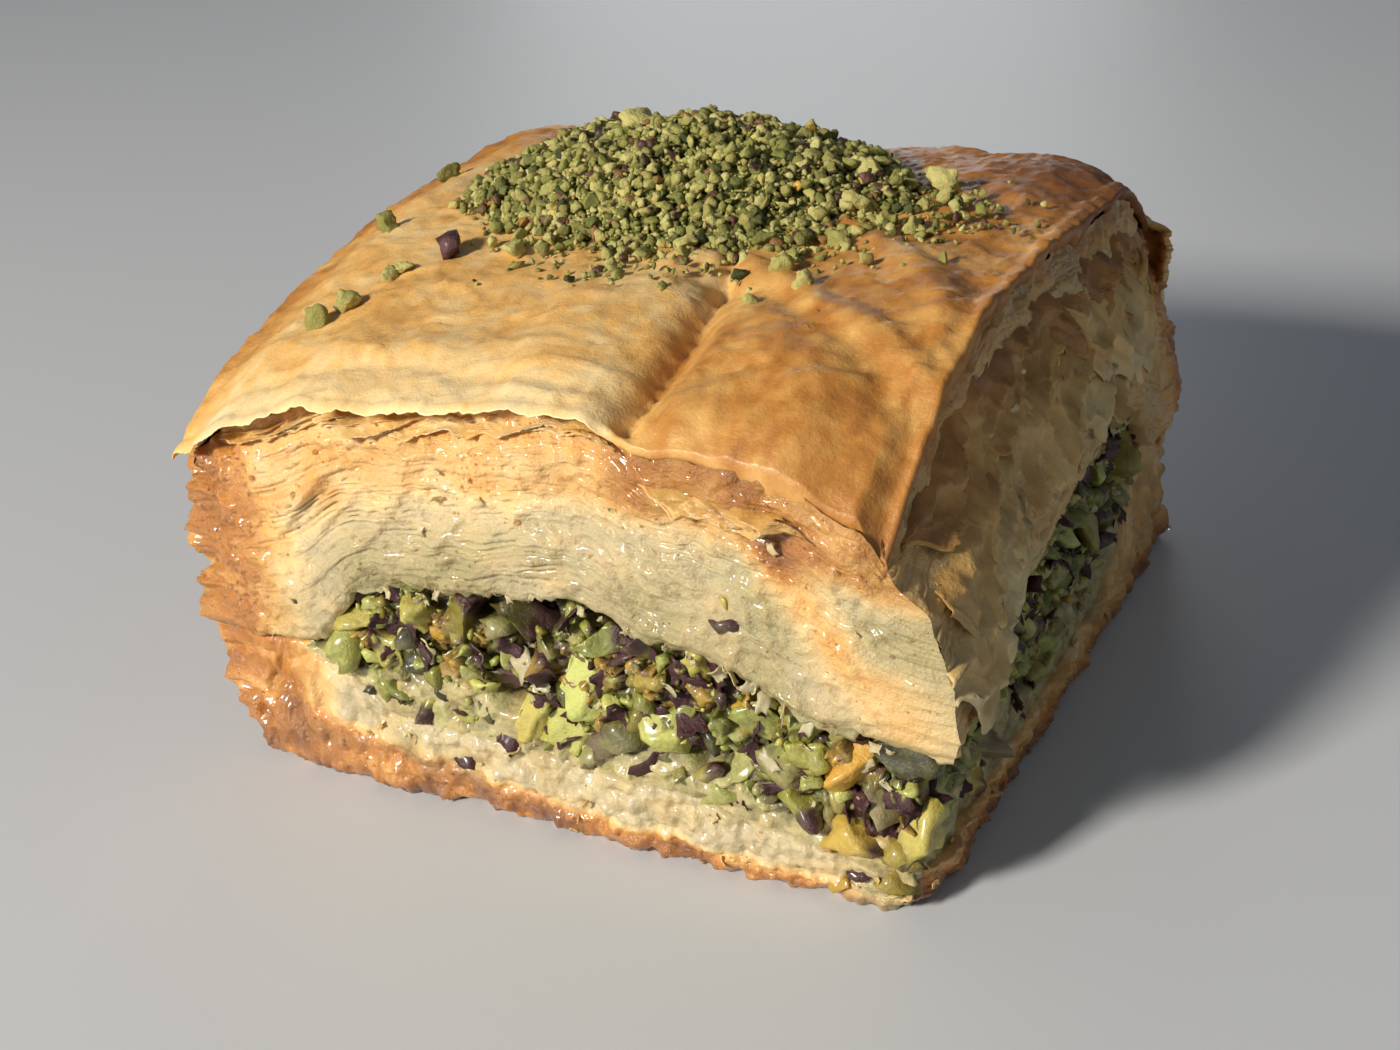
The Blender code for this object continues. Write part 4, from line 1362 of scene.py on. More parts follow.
@dataclass
class NutFilling:
    """The chopped pistachios between the stacks, seen on both cuts."""

    form: LoafForm
    seed: int = 7
    cuts: int = 20
    core_inset: float = 5.0
    face_cells: tuple[int, int] = (230, 64)
    lump_size: float = 2.7
    inset: float = 0.3
    big: tuple[tuple[float, float, float, float, float], ...] = (
        (3.6, 13.4, 3.2, 1.0, 0.0),
        (-17.8, 12.2, 2.5, 0.65, 0.1),
        (1.4, 8.6, 2.2, 0.85, 0.15),
        (-7.5, 8.6, 2.0, 0.7, 0.2),
        (-10.4, 16.0, 2.4, 0.75, 0.3),
        (25.3, 11.8, 2.6, 0.95, 1.0),
        (24.8, 5.7, 2.4, 0.9, 0.7),
        (13.4, 16.4, 1.9, 0.8, 0.35),
        (10.5, 11.0, 2.0, 0.8, 0.1),
        (16.3, 13.8, 1.7, 0.8, 0.8),
        (21.6, 11.2, 1.9, 0.6, 0.2),
        (20.4, 7.4, 1.8, 0.6, 0.2),
        (-13.6, 12.4, 1.8, 0.7, 0.3),
    )
    voids: tuple[tuple[tuple[float, float], tuple[float, float]], ...] = (
        ((-2.0, 18.6), (5.5, 2.2)),
        ((6.5, 19.0), (2.6, 1.8)),
        ((17.5, 16.6), (2.4, 1.6)),
        ((13.4, 9.4), (2.2, 1.2)),
        ((-2.8, 11.6), (2.2, 1.8)),
    )
    embedded: tuple[tuple[float, float, float, float, float, float], ...] = (
        (16.3, 21.2, 1.15, 0.6, 0.0, 1.0),
        (16.1, 23.1, 1.1, 0.75, 0.5, 0.0),
        (26.4, 16.5, 1.1, 0.5, 0.7, 0.0),
        (28.0, 12.0, 0.9, 0.6, 0.2, 1.0),
        (26.2, 6.4, 0.9, 0.5, 0.2, 1.0),
        (25.0, 3.1, 1.0, 0.5, 0.2, 1.0),
        (23.1, 1.4, 0.9, 0.7, 0.9, 0.0),
        (27.4, 2.6, 1.7, 0.5, 0.6, 0.0),
        (28.4, 4.9, 1.5, 0.6, 0.5, 0.0),
        (20.6, 2.6, 0.9, 0.5, 0.5, 0.0),
        (-7.9, 4.5, 0.8, 0.5, 0.1, 1.0),
        (-21.4, 16.4, 0.8, 0.6, 0.5, 0.0),
    )

    def core(self, finish: Material) -> Piece:
        """Closed core well behind the faces of the cuts, dark as painted shade in the gaps between the nuts.
        """
        form = self.form
        bm = bmesh.new()
        bmesh.ops.create_cube(bm, size=1.0)
        bmesh.ops.translate(bm, verts=bm.verts, vec=(0.5, 0.5, 0.5))
        bmesh.ops.subdivide_edges(bm, edges=bm.edges, cuts=self.cuts, use_grid_fill=True)
        for vert in bm.verts:
            a, b, w = vert.co
            u = form.filling_from_left + (0.93 - form.filling_from_left) * a
            v = 0.07 + (form.filling_to_back - 0.07) * b
            point = form.plan(u, v)
            floor, roof = form.nut_layer(u, v)
            vert.co = (point.x, point.y, floor - 0.3 + (roof - floor + 0.6) * w)
        return finish_piece(bm, "filling_core", finish)

    def void(self, x: float, z: float) -> float:
        """How far a point of the front cut is in one of the hollows, which are set back and get painted
        shade, from 0 to 1.
        """
        x -= self.form.centring[0]
        return max(bump(x, z, centre, widths, 1.0) for centre, widths in self.voids)

    def lumps(self, at: Vector, height: float) -> tuple[float, Marks]:
        """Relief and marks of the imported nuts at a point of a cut.

        Args:
            at: The point in millimetres.
            height: Share of the height of the nut layer.

        Returns:
            How far the surface stands out, and its marks.
        """
        warp = Vector((wave_at(at, 0.8, at.z * 0.8 + 30.0 * i) for i in range(3)))
        spot = (at + 0.9 * warp) / self.lump_size
        distances, centres = noise.voronoi(spot)
        lot = centres[0] * 7.7
        chance = 0.5 + 0.5 * noise.cell(lot)
        kind = 0.5 + 0.5 * noise.cell(lot + Vector((31.0, 7.0, 3.0)))
        whole = ramp((distances[1] - distances[0]) / 0.2)
        tilt = (spot - centres[0]).dot(noise.cell_vector(lot)) * 1.6
        small_distances, small_centres = noise.voronoi(at * 1.1 + warp)
        small_whole = ramp((small_distances[1] - small_distances[0]) / 0.3)
        small_chance = noise.cell(small_centres[0] * 7.7)
        drift = wave_at(at, 0.25, at.z * 0.25 + 5.0)
        mush = ramp((0.42 - height) / 0.3 + 1.3 * drift)
        hollow = ramp((height - 0.72) / 0.12) * ramp((wave_at(at, 0.22, 7.0) + 0.12) / 0.3)
        hollow = max(0.5 * hollow, ramp(1.4 * self.void(at.x, at.z)))
        mush *= 1 - hollow
        out = (0.9 * (chance - 0.6) + 0.7 * tilt) * whole - 0.9 * (1 - whole)
        out += 0.2 * small_chance * small_whole - 0.22 * (1 - small_whole)
        out = out * (1 - 0.75 * mush) + 0.35 * mush - 2.2 * hollow
        out += 0.2 * wave_at(at, 1.5, at.z * 1.5) + 0.1 * wave_at(at, 3.4, at.z * 3.4)
        # Painted shade: the tone darkens in the gaps between the bits and in the hollows.
        tone = (0.08 + 0.6 * chance + 0.2 * small_chance) * (0.25 + 0.75 * whole) * (1 - 0.8 * hollow)
        return out, {
            "tone": tone,
            "skin": (1.0 if kind < 0.17 else 0.0) * (1 - mush) + 0.6 * (1 - small_whole) * (1 - mush),
            "gold": 0.9 * ramp((kind - 0.6) / 0.2),
            "mush": mush * (0.75 + 0.25 * small_chance),
        }

    def face(self, side: Side, finish: Material) -> Piece:
        """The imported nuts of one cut."""
        form = self.form
        columns, rows = self.face_cells
        first = form.filling_from_left - form.cell if side is Side.FRONT else 0.0
        last = 1.0 if side is Side.FRONT else form.filling_to_back + form.cell

        def flush(_side: Side, _u: float, _v: float, _z: float) -> float:
            """The face lies a little behind the footprint all over."""
            return -self.inset

        def place(column: int, row: int) -> tuple[Vector, Marks]:
            share = first + (last - first) * column / columns
            u, v = side.place(share)
            base = form.plan(u, v)
            floor, roof = form.nut_layer(u, v)
            height = row / rows
            z = floor - 0.6 + (roof - floor + 1.2) * height
            out, marks = self.lumps(Vector((base.x, base.y, z)), height)
            return form.wall_point(side, share, z, flush, out), marks

        bm = shaped_grid(columns, rows, place, NUT_MARKS)
        return finish_piece(bm, f"filling_face_{side.name.lower()}", finish)

    def spot(self, side: Side, share: float, height: float, inset: float) -> Vector:
        """Point on a cut of the filling.

        Args:
            side: The front or the right cut.
            share: Place along that cut.
            height: Share of the height between floor and roof.
            inset: How far behind the footprint, in millimetres.

        Returns:
            The point.
        """
        u, v = side.place(share)
        floor, roof = self.form.nut_layer(u, v)
        point = self.form.plan(u, v) - side.outward * inset
        return Vector((point.x, point.y, floor + (roof - floor) * height))

    def scatter(self, side: Side, sizes: tuple[float, float], tries: int, inset: tuple[float, float],
                taken: list[tuple[Vector, float]], rng: random.Random) -> list[tuple[Vector, float]]:
        """Drops nuts on a cut where there is still room.

        Args:
            side: The cut.
            sizes: Smallest and largest radius.
            tries: How many places are tried.
            inset: Least and greatest distance behind the footprint.
            taken: Nuts placed before, to which the new ones are added.
            rng: The random draw.

        Returns:
            The new nuts' places and radii.
        """
        found = []
        first = self.form.filling_from_left + 0.01 if side is Side.FRONT else 0.0
        last = 1.0 if side is Side.FRONT else self.form.filling_to_back
        for _ in range(tries):
            share = rng.uniform(first, last)
            radius = rng.uniform(*sizes)
            u, v = side.place(share)
            floor, roof = self.form.nut_layer(u, v)
            room = roof - floor
            if room < 1.5 * radius:
                continue
            height = rng.uniform(0.5 * radius / room, 1 - 0.4 * radius / room)
            place = self.spot(side, share, height, rng.uniform(*inset))
            if side is Side.FRONT and self.void(place.x, place.z) > 0.55:
                continue
            if height < 0.32 and rng.random() < 0.65:
                continue
            if all((place - other).length > 0.62 * (radius + size) for other, size in taken):
                taken.append((place, radius))
                found.append((place, radius))
        return found

    def in_wall(self, u: float, z: float, depth: float) -> Vector:
        """Point at this depth behind the skin of the front cut, above or below the nut layer."""
        floor, roof = self.form.nut_layer(u, 0.0)
        stand_out = self.form.upper_stand_out if z > roof else self.form.base_stand_out
        point = self.form.plan(u, 0.0)
        return Vector((point.x, point.y - stand_out(Side.FRONT, u, 0.0, z) + depth, z))

    def build(self, nut: Material, skin: Material, core_shade: Material
              ) -> list[Piece]:
        """Makes and dresses the dark core, which is painted shade behind the nuts, the faces of the cuts, the
        chopped nuts and the dark skins.
        """
        rng = random.Random(self.seed)
        core = self.core(core_shade)
        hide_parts("pistachio_filling")
        faces = [self.face(side, nut) for side in (Side.FRONT, Side.RIGHT)]
        taken: list[tuple[Vector, float]] = []
        large, middle, small, skins = [], [], [], []
        for x, z, radius, tone, gold in self.big:
            u = (x + 31.0) / self.form.width
            floor, roof = self.form.nut_layer(u, 0.0)
            place = self.spot(Side.FRONT, u, (z - floor) / (roof - floor), 0.55 * radius)
            taken.append((place, radius))
            large.append(Crumb(place, radius, tone, gold))
        for x, z, radius, tone, gold, dark in self.embedded:
            u = (x + 31.0) / self.form.width
            middle.append(Crumb(self.in_wall(u, z, 0.55 * radius), radius, tone, gold, skin=dark))
        for side in (Side.FRONT, Side.RIGHT):
            for bucket, sizes, tries, inset in (
                (large, (1.3, 2.4), 280, (0.8, 1.9)),
                (middle, (0.6, 1.2), 420, (0.3, 1.1)),
                (small, (0.2, 0.5), 300, (0.0, 0.6)),
            ):
                for place, radius in self.scatter(side, sizes, tries, inset, taken, rng):
                    tone, gold = rng.gauss(0.5, 0.26), max(0.0, rng.gauss(0.12, 0.3))
                    bucket.append(Crumb(place, radius, tone, gold, mush=max(0.0, rng.uniform(-0.5, 0.5))))
            for place, radius in self.scatter(side, (0.7, 1.6), 100, (0.0, 0.6), [], rng):
                dark = dict(zip(NUT_MARKS, (rng.uniform(0.1, 0.9), 1.0, 0.0, 0.0)))
                skins.append((place, side, radius, dark))
        pieces = [
            joined_crumbs("filling_large_nuts", large, Grit.LARGE, 3, nut, 0.5),
            joined_crumbs("filling_chopped_nuts", middle, Grit.MEDIUM, 4, nut, 0.3),
            joined_crumbs("filling_fine_nuts", small, Grit.FINE, 5, nut, 0.1),
        ]
        skin_piece = curled_flakes("filling_skins", skins, self.seed, 0.12, skin)
        return [core, skin_piece] + faces + pieces


@dataclass
class GroundNutHeap:
    """The heap of ground pistachio on the crown, and the grains strewn round it."""

    form: LoafForm
    seed: int = 21
    centre: tuple[float, float] = (-3.4, 7.4)
    radii: tuple[float, float] = (19.5, 12.5)
    height: float = 4.6
    cells: int = 90
    purple_nib: tuple[float, float] = (-14.9, -8.4)
    nibs: tuple[tuple[float, float, float, float], ...] = (
        (-6.8, 8.2, 1.5, 1.0),
        (-11.0, -7.7, 0.95, 0.95),
        (3.5, -6.2, 1.0, 0.95),
        (-27.5, 9.8, 0.9, 0.3),
        (-25.8, -3.1, 0.95, 0.45),
        (-21.2, -16.2, 1.0, 0.7),
        (-22.8, -18.1, 0.9, 0.5),
        (-20.0, -11.7, 0.8, 0.8),
        (-19.2, -10.9, 0.7, 0.8),
        (18.7, 9.8, 1.3, 1.0),
        (12.9, 7.6, 1.0, 0.9),
        (15.5, -12.4, 0.8, 0.8),
        (12.6, -9.2, 0.85, 0.7),
        (13.9, 2.8, 1.0, 0.9),
        (19.4, -0.2, 0.8, 0.8),
        (15.0, -4.0, 0.9, 0.6),
        (9.0, -4.5, 0.9, 0.4),
    )

    def reach(self, angle: float) -> float:
        """Uneven outline of the heap, as a share of its radii."""
        return 1 + 0.2 * wave(math.cos(angle) * 1.6, math.sin(angle) * 1.6, 5.0)

    def plan(self, radial: float, angle: float) -> tuple[float, float]:
        """Plan point at a share of the heap's radius."""
        reach = self.reach(angle)
        x = self.centre[0] + self.radii[0] * radial * math.cos(angle) * reach + self.form.centring[0]
        y = self.centre[1] + self.radii[1] * radial * math.sin(angle) * reach + self.form.centring[1]
        return x, y

    def rise(self, x: float, y: float, radial: float) -> float:
        """Thickness of the heap."""
        dome = (1 - min(radial, 1.0) ** 1.9) ** 0.9
        return self.height * dome * (1 + 0.3 * wave(x * 0.24, y * 0.24, 2.0))

    def surface(self, radial: float, angle: float) -> Vector:
        """Point on top of the heap, or on the sheet beyond it."""
        x, y = self.plan(radial, angle)
        return Vector((x, y, self.form.top_at(x, y) + 0.25 + self.rise(x, y, radial)))

    def core(self, finish: Material) -> Piece:
        """Rough closed mound under the loose grains."""
        bm = bmesh.new()
        bmesh.ops.create_grid(bm, x_segments=self.cells, y_segments=self.cells, size=1.0)
        tone = bm.verts.layers.float.new("tone")
        for vert in bm.verts:
            a, b = vert.co.x, vert.co.y
            dx = a * math.sqrt(1 - b * b / 2)
            dy = b * math.sqrt(1 - a * a / 2)
            radial = min(1.0, math.hypot(dx, dy))
            point = self.surface(radial, math.atan2(dy, dx))
            relief = 0.5 * abs(wave_at(point, 1.1, 1.0)) + 0.3 * abs(wave_at(point, 2.6, 5.0))
            point.z += (relief - 0.45) * min(1.0, 6 * (1 - radial))
            if radial > 0.999:
                point.z -= 0.9
            vert[tone] = 0.3 + 0.8 * wave_at(point, 1.6, 8.0)
            vert.co = point
        rim = [edge for edge in bm.edges if edge.is_boundary]
        bmesh.ops.holes_fill(bm, edges=rim)
        return finish_piece(bm, "heap_core", finish)

    def strewn(self, rng: random.Random, count: int, sizes: tuple[float, float], spread: float
               ) -> list[Crumb]:
        """Grains over the heap and thinning out beyond it.

        Args:
            rng: The random draw.
            count: How many.
            sizes: Smallest and largest radius.
            spread: How far beyond the heap's rim the last ones lie, as a share of its radius.

        Returns:
            The grains.
        """
        found = []
        for _ in range(count):
            radial = math.sqrt(rng.random()) * 0.98
            angle = rng.uniform(0, math.tau)
            towards_front_right = max(0.0, math.cos(angle + 0.9))
            if rng.random() < 0.05 + 0.36 * towards_front_right**3:
                radial = 0.94 + abs(rng.gauss(0, spread * (0.4 + 2.2 * towards_front_right)))
            x, y = self.plan(radial, angle)
            u, v = self.form.share_at(x, y)
            if not (0.03 < u < 0.97 and 0.03 < v < 0.97):
                continue
            radius = rng.uniform(*sizes)
            place = Vector((x, y, self.form.top(u, v) + 0.25 + self.rise(x, y, radial)))
            place.z += radius * rng.uniform(-0.2, 1.3)
            tone = unit(rng.gauss(0.6, 0.26))
            found.append(Crumb(place, radius, tone, min(1.0, abs(rng.gauss(0.0, 0.4))), (1.15, 0.95, 0.85)))
        return found

    def build(self, nut: Material, skin: Material) -> list[Piece]:
        """Makes and dresses the mound, its grains, its dark bits and the larger nibs."""
        rng = random.Random(self.seed)
        core = self.core(nut)
        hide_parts("pistachio_topping")
        fine = self.strewn(rng, 7400, (0.14, 0.34), 0.14)
        middle = self.strewn(rng, 2200, (0.3, 0.66), 0.12)
        dark = self.strewn(rng, 300, (0.25, 0.6), 0.1)
        large = []
        for x, y, radius, tone in self.nibs:
            px, py = x + self.form.centring[0], y + self.form.centring[1]
            radial = math.hypot((x - self.centre[0]) / self.radii[0], (y - self.centre[1]) / self.radii[1])
            rise = self.rise(px, py, radial) if radial < 1 else 0.0
            z = self.form.top_at(px, py) + 0.2 + rise + 0.55 * radius
            large.append(Crumb(Vector((px, py, z)), radius * 1.1, tone, 0.4, (1.1, 0.95, 0.85)))
        x, y = self.purple_nib
        purple = Crumb(Vector((x, y, self.form.top_at(x, y) + 0.9)), 1.35, 0.7, 0.0, (1.1, 0.8, 0.9))
        return [
            core,
            joined_crumbs("heap_fine_grains", fine, Grit.FINE, 11, nut),
            joined_crumbs("heap_grains", middle, Grit.MEDIUM, 12, nut, 0.1),
            joined_crumbs("heap_dark_bits", dark + [purple], Grit.MEDIUM, 13, skin),
            joined_crumbs("heap_nibs", large, Grit.LARGE, 14, nut),
        ]


class Nodes:
    """A node tree being put together, for a material or a shared effect."""

    def __init__(self, tree: bpy.types.NodeTree) -> None:
        """Starts on an empty tree."""
        self.tree = tree

    def add(self, kind: str, **values: object) -> bpy.types.Node:
        """Adds a node and fills its sockets.

        Args:
            kind: The node's type name.
            values: Sockets by name with underscores for spaces; a socket as value is linked. A leading
                set_ names a property of the node itself.

        Returns:
            The node.
        """
        node = self.tree.nodes.new(kind)
        for name, value in values.items():
            if name.startswith("set_"):
                setattr(node, name[4:], value)
        self.fill(node, **{name: value for name, value in values.items() if not name.startswith("set_")})
        return node

    def fill(self, node: bpy.types.Node, **values: object) -> None:
        """Fills sockets by name, with underscores for spaces."""
        for name, value in values.items():
            self.put(node, name.replace("_", " "), value)

    def put(self, node: bpy.types.Node, name: str, value: object) -> None:
        """Fills one socket, by name or by number, with a value or a link."""
        socket = node.inputs[int(name)] if name.isdigit() else node.inputs[name]
        if isinstance(value, bpy.types.NodeSocket):
            self.tree.links.new(value, socket)
        else:
            socket.default_value = value

    def here(self) -> Socket:
        """The place on the piece, in its own coordinates."""
        return self.add("ShaderNodeTexCoord").outputs["Object"]

    def grain(self, place: object, scale: object, detail: float, roughness: float = 0.5) -> Socket:
        """Noise over a place, from 0 to 1."""
        return self.add("ShaderNodeTexNoise", Vector=place, Scale=scale, Detail=detail,
                        Roughness=roughness).outputs[0]

    def held(self, value: object) -> Socket:
        """A number held between 0 and 1."""
        return self.add("ShaderNodeClamp", Value=value).outputs[0]

    def swing(self, value: object, size: object) -> Socket:
        """A number round 0.5 turned into a swing of this size round 0."""
        return self.math("MULTIPLY", self.math("SUBTRACT", value, 0.5), size)

    def effect(self, group: bpy.types.NodeTree, **values: object) -> bpy.types.Node:
        """Places a shared effect with its own values."""
        return self.add("ShaderNodeGroup", set_node_tree=group, **values)

    def marks(self, names: Sequence[str]) -> dict[str, Socket]:
        """The marks that the mesh carries under these names."""
        found = {name: self.add("ShaderNodeAttribute", set_attribute_name=name) for name in names}
        return {name: node.outputs["Fac"] for name, node in found.items()}

    def math(self, operation: str, a: object, b: object = 0.0) -> Socket:
        """A sum or other step on two numbers."""
        node = self.tree.nodes.new("ShaderNodeMath")
        node.operation = operation
        self.put(node, "0", a)
        self.put(node, "1", b)
        return node.outputs[0]

    def ramp(self, value: object, stops: Sequence[tuple[float, Colour]]) -> Socket:
        """Colours along a number from 0 to 1."""
        node = self.tree.nodes.new("ShaderNodeValToRGB")
        ramp_stops = node.color_ramp.elements
        while len(ramp_stops) < len(stops):
            ramp_stops.new(0.5)
        for stop, (place, colour) in zip(ramp_stops, stops):
            stop.position = place
            stop.color = (*colour, 1.0)
        self.put(node, "0", value)
        return node.outputs[0]

    def mix(self, share: object, a: object, b: object, blend: str = "MIX") -> Socket:
        """Mixes two colours."""
        node = self.tree.nodes.new("ShaderNodeMix")
        node.data_type = "RGBA"
        node.blend_type = blend
        self.put(node, "0", share)
        self.put(node, "6", (*a, 1.0) if isinstance(a, tuple) and len(a) == 3 else a)
        self.put(node, "7", (*b, 1.0) if isinstance(b, tuple) and len(b) == 3 else b)
        return node.outputs[2]


def new_effect(name: str, inputs: Sequence[tuple[str, str, object]], outputs: Sequence[tuple[str, str]]
               ) -> tuple[Nodes, bpy.types.bpy_prop_collection, bpy.types.Node]:
    """Starts a shared effect as a shader node group.

    Args:
        name: Name of the group.
        inputs: Name, socket type and default of each input.
        outputs: Name and socket type of each output.

    Returns:
        The node tree, the sockets that give its inputs, and its output node.
    """
    tree = bpy.data.node_groups.new(name, "ShaderNodeTree")
    for label, kind, default in inputs:
        socket = tree.interface.new_socket(label, in_out="INPUT", socket_type=kind)
        socket.default_value = default
    for label, kind in outputs:
        tree.interface.new_socket(label, in_out="OUTPUT", socket_type=kind)
    nodes = Nodes(tree)
    return nodes, nodes.add("NodeGroupInput").outputs, nodes.add("NodeGroupOutput")


FLOAT = "NodeSocketFloat"
COLOUR = "NodeSocketColor"


@dataclass(frozen=True)
class Shades:
    """The colours of the pastry, linear."""

    cream: Colour = (0.54, 0.45, 0.262)
    straw: Colour = (0.79, 0.575, 0.275)
    orange: Colour = (0.73, 0.405, 0.12)
    amber: Colour = (0.47, 0.19, 0.035)
    brown: Colour = (0.22, 0.08, 0.02)
    soaked: Colour = (0.37, 0.31, 0.14)


class SharedEffects:
    """Effects that more than one finish uses, built once."""

    def __init__(self, shades: Shades) -> None:
        """Builds the groups."""
        self.bake = self.bake_group(shades)
        self.paper = self.paper_group()
        self.lines = self.lines_group()
        self.nut = self.nut_group()

    def bake_group(self, shades: Shades) -> bpy.types.NodeTree:
        """Colour of filo from how browned and soaked it is, with fine mottling and painted shade deep in the
        layer grooves.
        """
        nodes, given, result = new_effect(
            "filo_bake",
            [("Bake", FLOAT, 0.5), ("Soak", FLOAT, 0.0), ("Tone", FLOAT, 0.5), ("Pit", FLOAT, 0.0),
             ("Mottle", FLOAT, 0.2), ("Mottle Scale", FLOAT, 300.0)],
            [("Color", COLOUR), ("Mottle", FLOAT)],
        )
        place = nodes.here()
        blotch = nodes.math("MULTIPLY", nodes.grain(place, given["Mottle Scale"], 4.0, 0.52), 0.7)
        speck = nodes.math("MULTIPLY", nodes.grain(place, 1400.0, 3.0, 0.6), 0.3)
        both = nodes.math("ADD", blotch, speck)
        browned = nodes.math("ADD", given["Bake"], nodes.swing(both, given["Mottle"]))
        colour = nodes.ramp(browned, [(0.0, shades.cream), (0.25, shades.straw), (0.5, shades.orange),
                                      (0.75, shades.amber), (1.0, shades.brown)])
        soaked = nodes.mix(given["Soak"], colour, shades.soaked)
        light = nodes.math("ADD", 0.82, nodes.math("MULTIPLY", given["Tone"], 0.36))
        grey = nodes.add("ShaderNodeCombineColor", Red=light, Green=light, Blue=light).outputs[0]
        toned = nodes.mix(1.0, soaked, grey, "MULTIPLY")
        # Painted shade: the layer grooves are darkened towards a warm brown.
        pit = nodes.math("MULTIPLY", given["Pit"], 0.16)
        deep = nodes.mix(pit, toned, (0.42, 0.22, 0.06), "MULTIPLY")
        nodes.put(result, "Color", deep)
        nodes.put(result, "Mottle", both)
        return nodes.tree

    def paper_group(self) -> bpy.types.NodeTree:
        """Height of the fine fibres and blisters of baked filo."""
        nodes, given, result = new_effect(
            "filo_paper", [("Scale", FLOAT, 900.0), ("Grain", FLOAT, 0.5)], [("Height", FLOAT)]
        )
        place = nodes.here()
        coarse = nodes.grain(place, given["Scale"], 5.0, 0.65)
        fine = nodes.grain(place, nodes.math("MULTIPLY", given["Scale"], 3.4), 3.0, 0.7)
        fine = nodes.math("MULTIPLY", fine, given["Grain"])
        nodes.put(result, "Height", nodes.math("ADD", coarse, fine))
        return nodes.tree

    def lines_group(self) -> bpy.types.NodeTree:
        """Fine streaks that follow the layers, from the layer mark."""
        nodes, given, result = new_effect("layer_lines", [("Level", FLOAT, 0.0)], [("Lines", FLOAT)])
        place = nodes.here()
        parts = nodes.add("ShaderNodeSeparateXYZ", Vector=place)
        follows = nodes.add(
            "ShaderNodeCombineXYZ",
            X=nodes.math("MULTIPLY", parts.outputs["X"], 260.0),
            Y=nodes.math("MULTIPLY", parts.outputs["Y"], 260.0),
            Z=nodes.math("MULTIPLY", given["Level"], 2.7),
        )
        nodes.put(result, "Lines", nodes.grain(follows.outputs[0], 1.0, 5.0, 0.6))
        return nodes.tree

    def nut_group(self) -> bpy.types.NodeTree:
        """Colour of pistachio from its tone, with mottling inside each bit."""
        nodes, given, result = new_effect(
            "nut_flesh",
            [("Tone", FLOAT, 0.5), ("Dark", COLOUR, (0.03, 0.04, 0.01, 1)),
             ("Middle", COLOUR, (0.2, 0.24, 0.04, 1)), ("Pale", COLOUR, (0.5, 0.5, 0.12, 1))],
            [("Color", COLOUR), ("Grain", FLOAT)],
        )
        place = nodes.here()
        grain = nodes.grain(place, 1100.0, 5.0, 0.7)
        share = nodes.math("ADD", given["Tone"], nodes.swing(grain, 0.9))
        lower = nodes.math("MULTIPLY", share, 2.0)
        upper = nodes.math("SUBTRACT", lower, 1.0)
        deep = nodes.mix(nodes.held(lower), given["Dark"], given["Middle"])
        nodes.put(result, "Color", nodes.mix(nodes.held(upper), deep, given["Pale"]))
        nodes.put(result, "Grain", grain)
        return nodes.tree


def new_finish(name: str) -> tuple[Nodes, bpy.types.Node]:
    """Starts a material.

    Args:
        name: Its name.

    Returns:
        Its node tree and its Principled shader.
    """
    material = bpy.data.materials.new(name)
    material.use_nodes = True
    return Nodes(material.node_tree), material.node_tree.nodes["Principled BSDF"]


@dataclass(frozen=True)
class FiloFinish:
    """Baked filo with syrup on it."""

    name: str
    mottle: float
    mottle_scale: float
    roughness: float
    gloss: float
    gloss_roughness: float
    grain_scale: float
    grain_depth: float
    line_depth: float
    glow: float

    def make(self, effects: SharedEffects) -> Material:
        """Builds the material from the shared effects."""
        nodes, shader = new_finish(self.name)
        marks = nodes.marks(FILO_MARKS)
        lines = nodes.effect(effects.lines, Level=marks["level"]).outputs["Lines"]
        tone = nodes.math("ADD", marks["tone"], nodes.swing(lines, self.line_depth * 9.0))
        bake = nodes.effect(effects.bake, Bake=marks["bake"], Soak=marks["soak"], Tone=tone, Pit=marks["pit"],
                            Mottle=self.mottle, Mottle_Scale=self.mottle_scale)
        paper = nodes.effect(effects.paper, Scale=self.grain_scale, Grain=0.8)
        folded = nodes.add("ShaderNodeBump", Strength=1.0, Distance=self.line_depth * MM, Height=lines)
        bumps = nodes.add("ShaderNodeBump", Strength=0.8, Distance=self.grain_depth * MM,
                          Height=paper.outputs["Height"], Normal=folded.outputs[0])
        dry = nodes.math("MULTIPLY", bake.outputs["Mottle"], 0.5)
        sheen = nodes.math("SUBTRACT", nodes.math("ADD", dry, self.roughness - 0.25),
                           nodes.math("MULTIPLY", marks["wet"], 0.16))
        coat = nodes.math("MULTIPLY", nodes.math("ADD", marks["wet"], 0.06), self.gloss)
        nodes.fill(shader, Base_Color=bake.outputs["Color"], Roughness=sheen, Normal=bumps.outputs[0],
                   Coat_Weight=coat, Coat_Roughness=self.gloss_roughness, Subsurface_Weight=self.glow,
                   Subsurface_Radius=(1.0, 0.55, 0.22), Subsurface_Scale=1.6 * MM)
        return nodes_material(nodes)


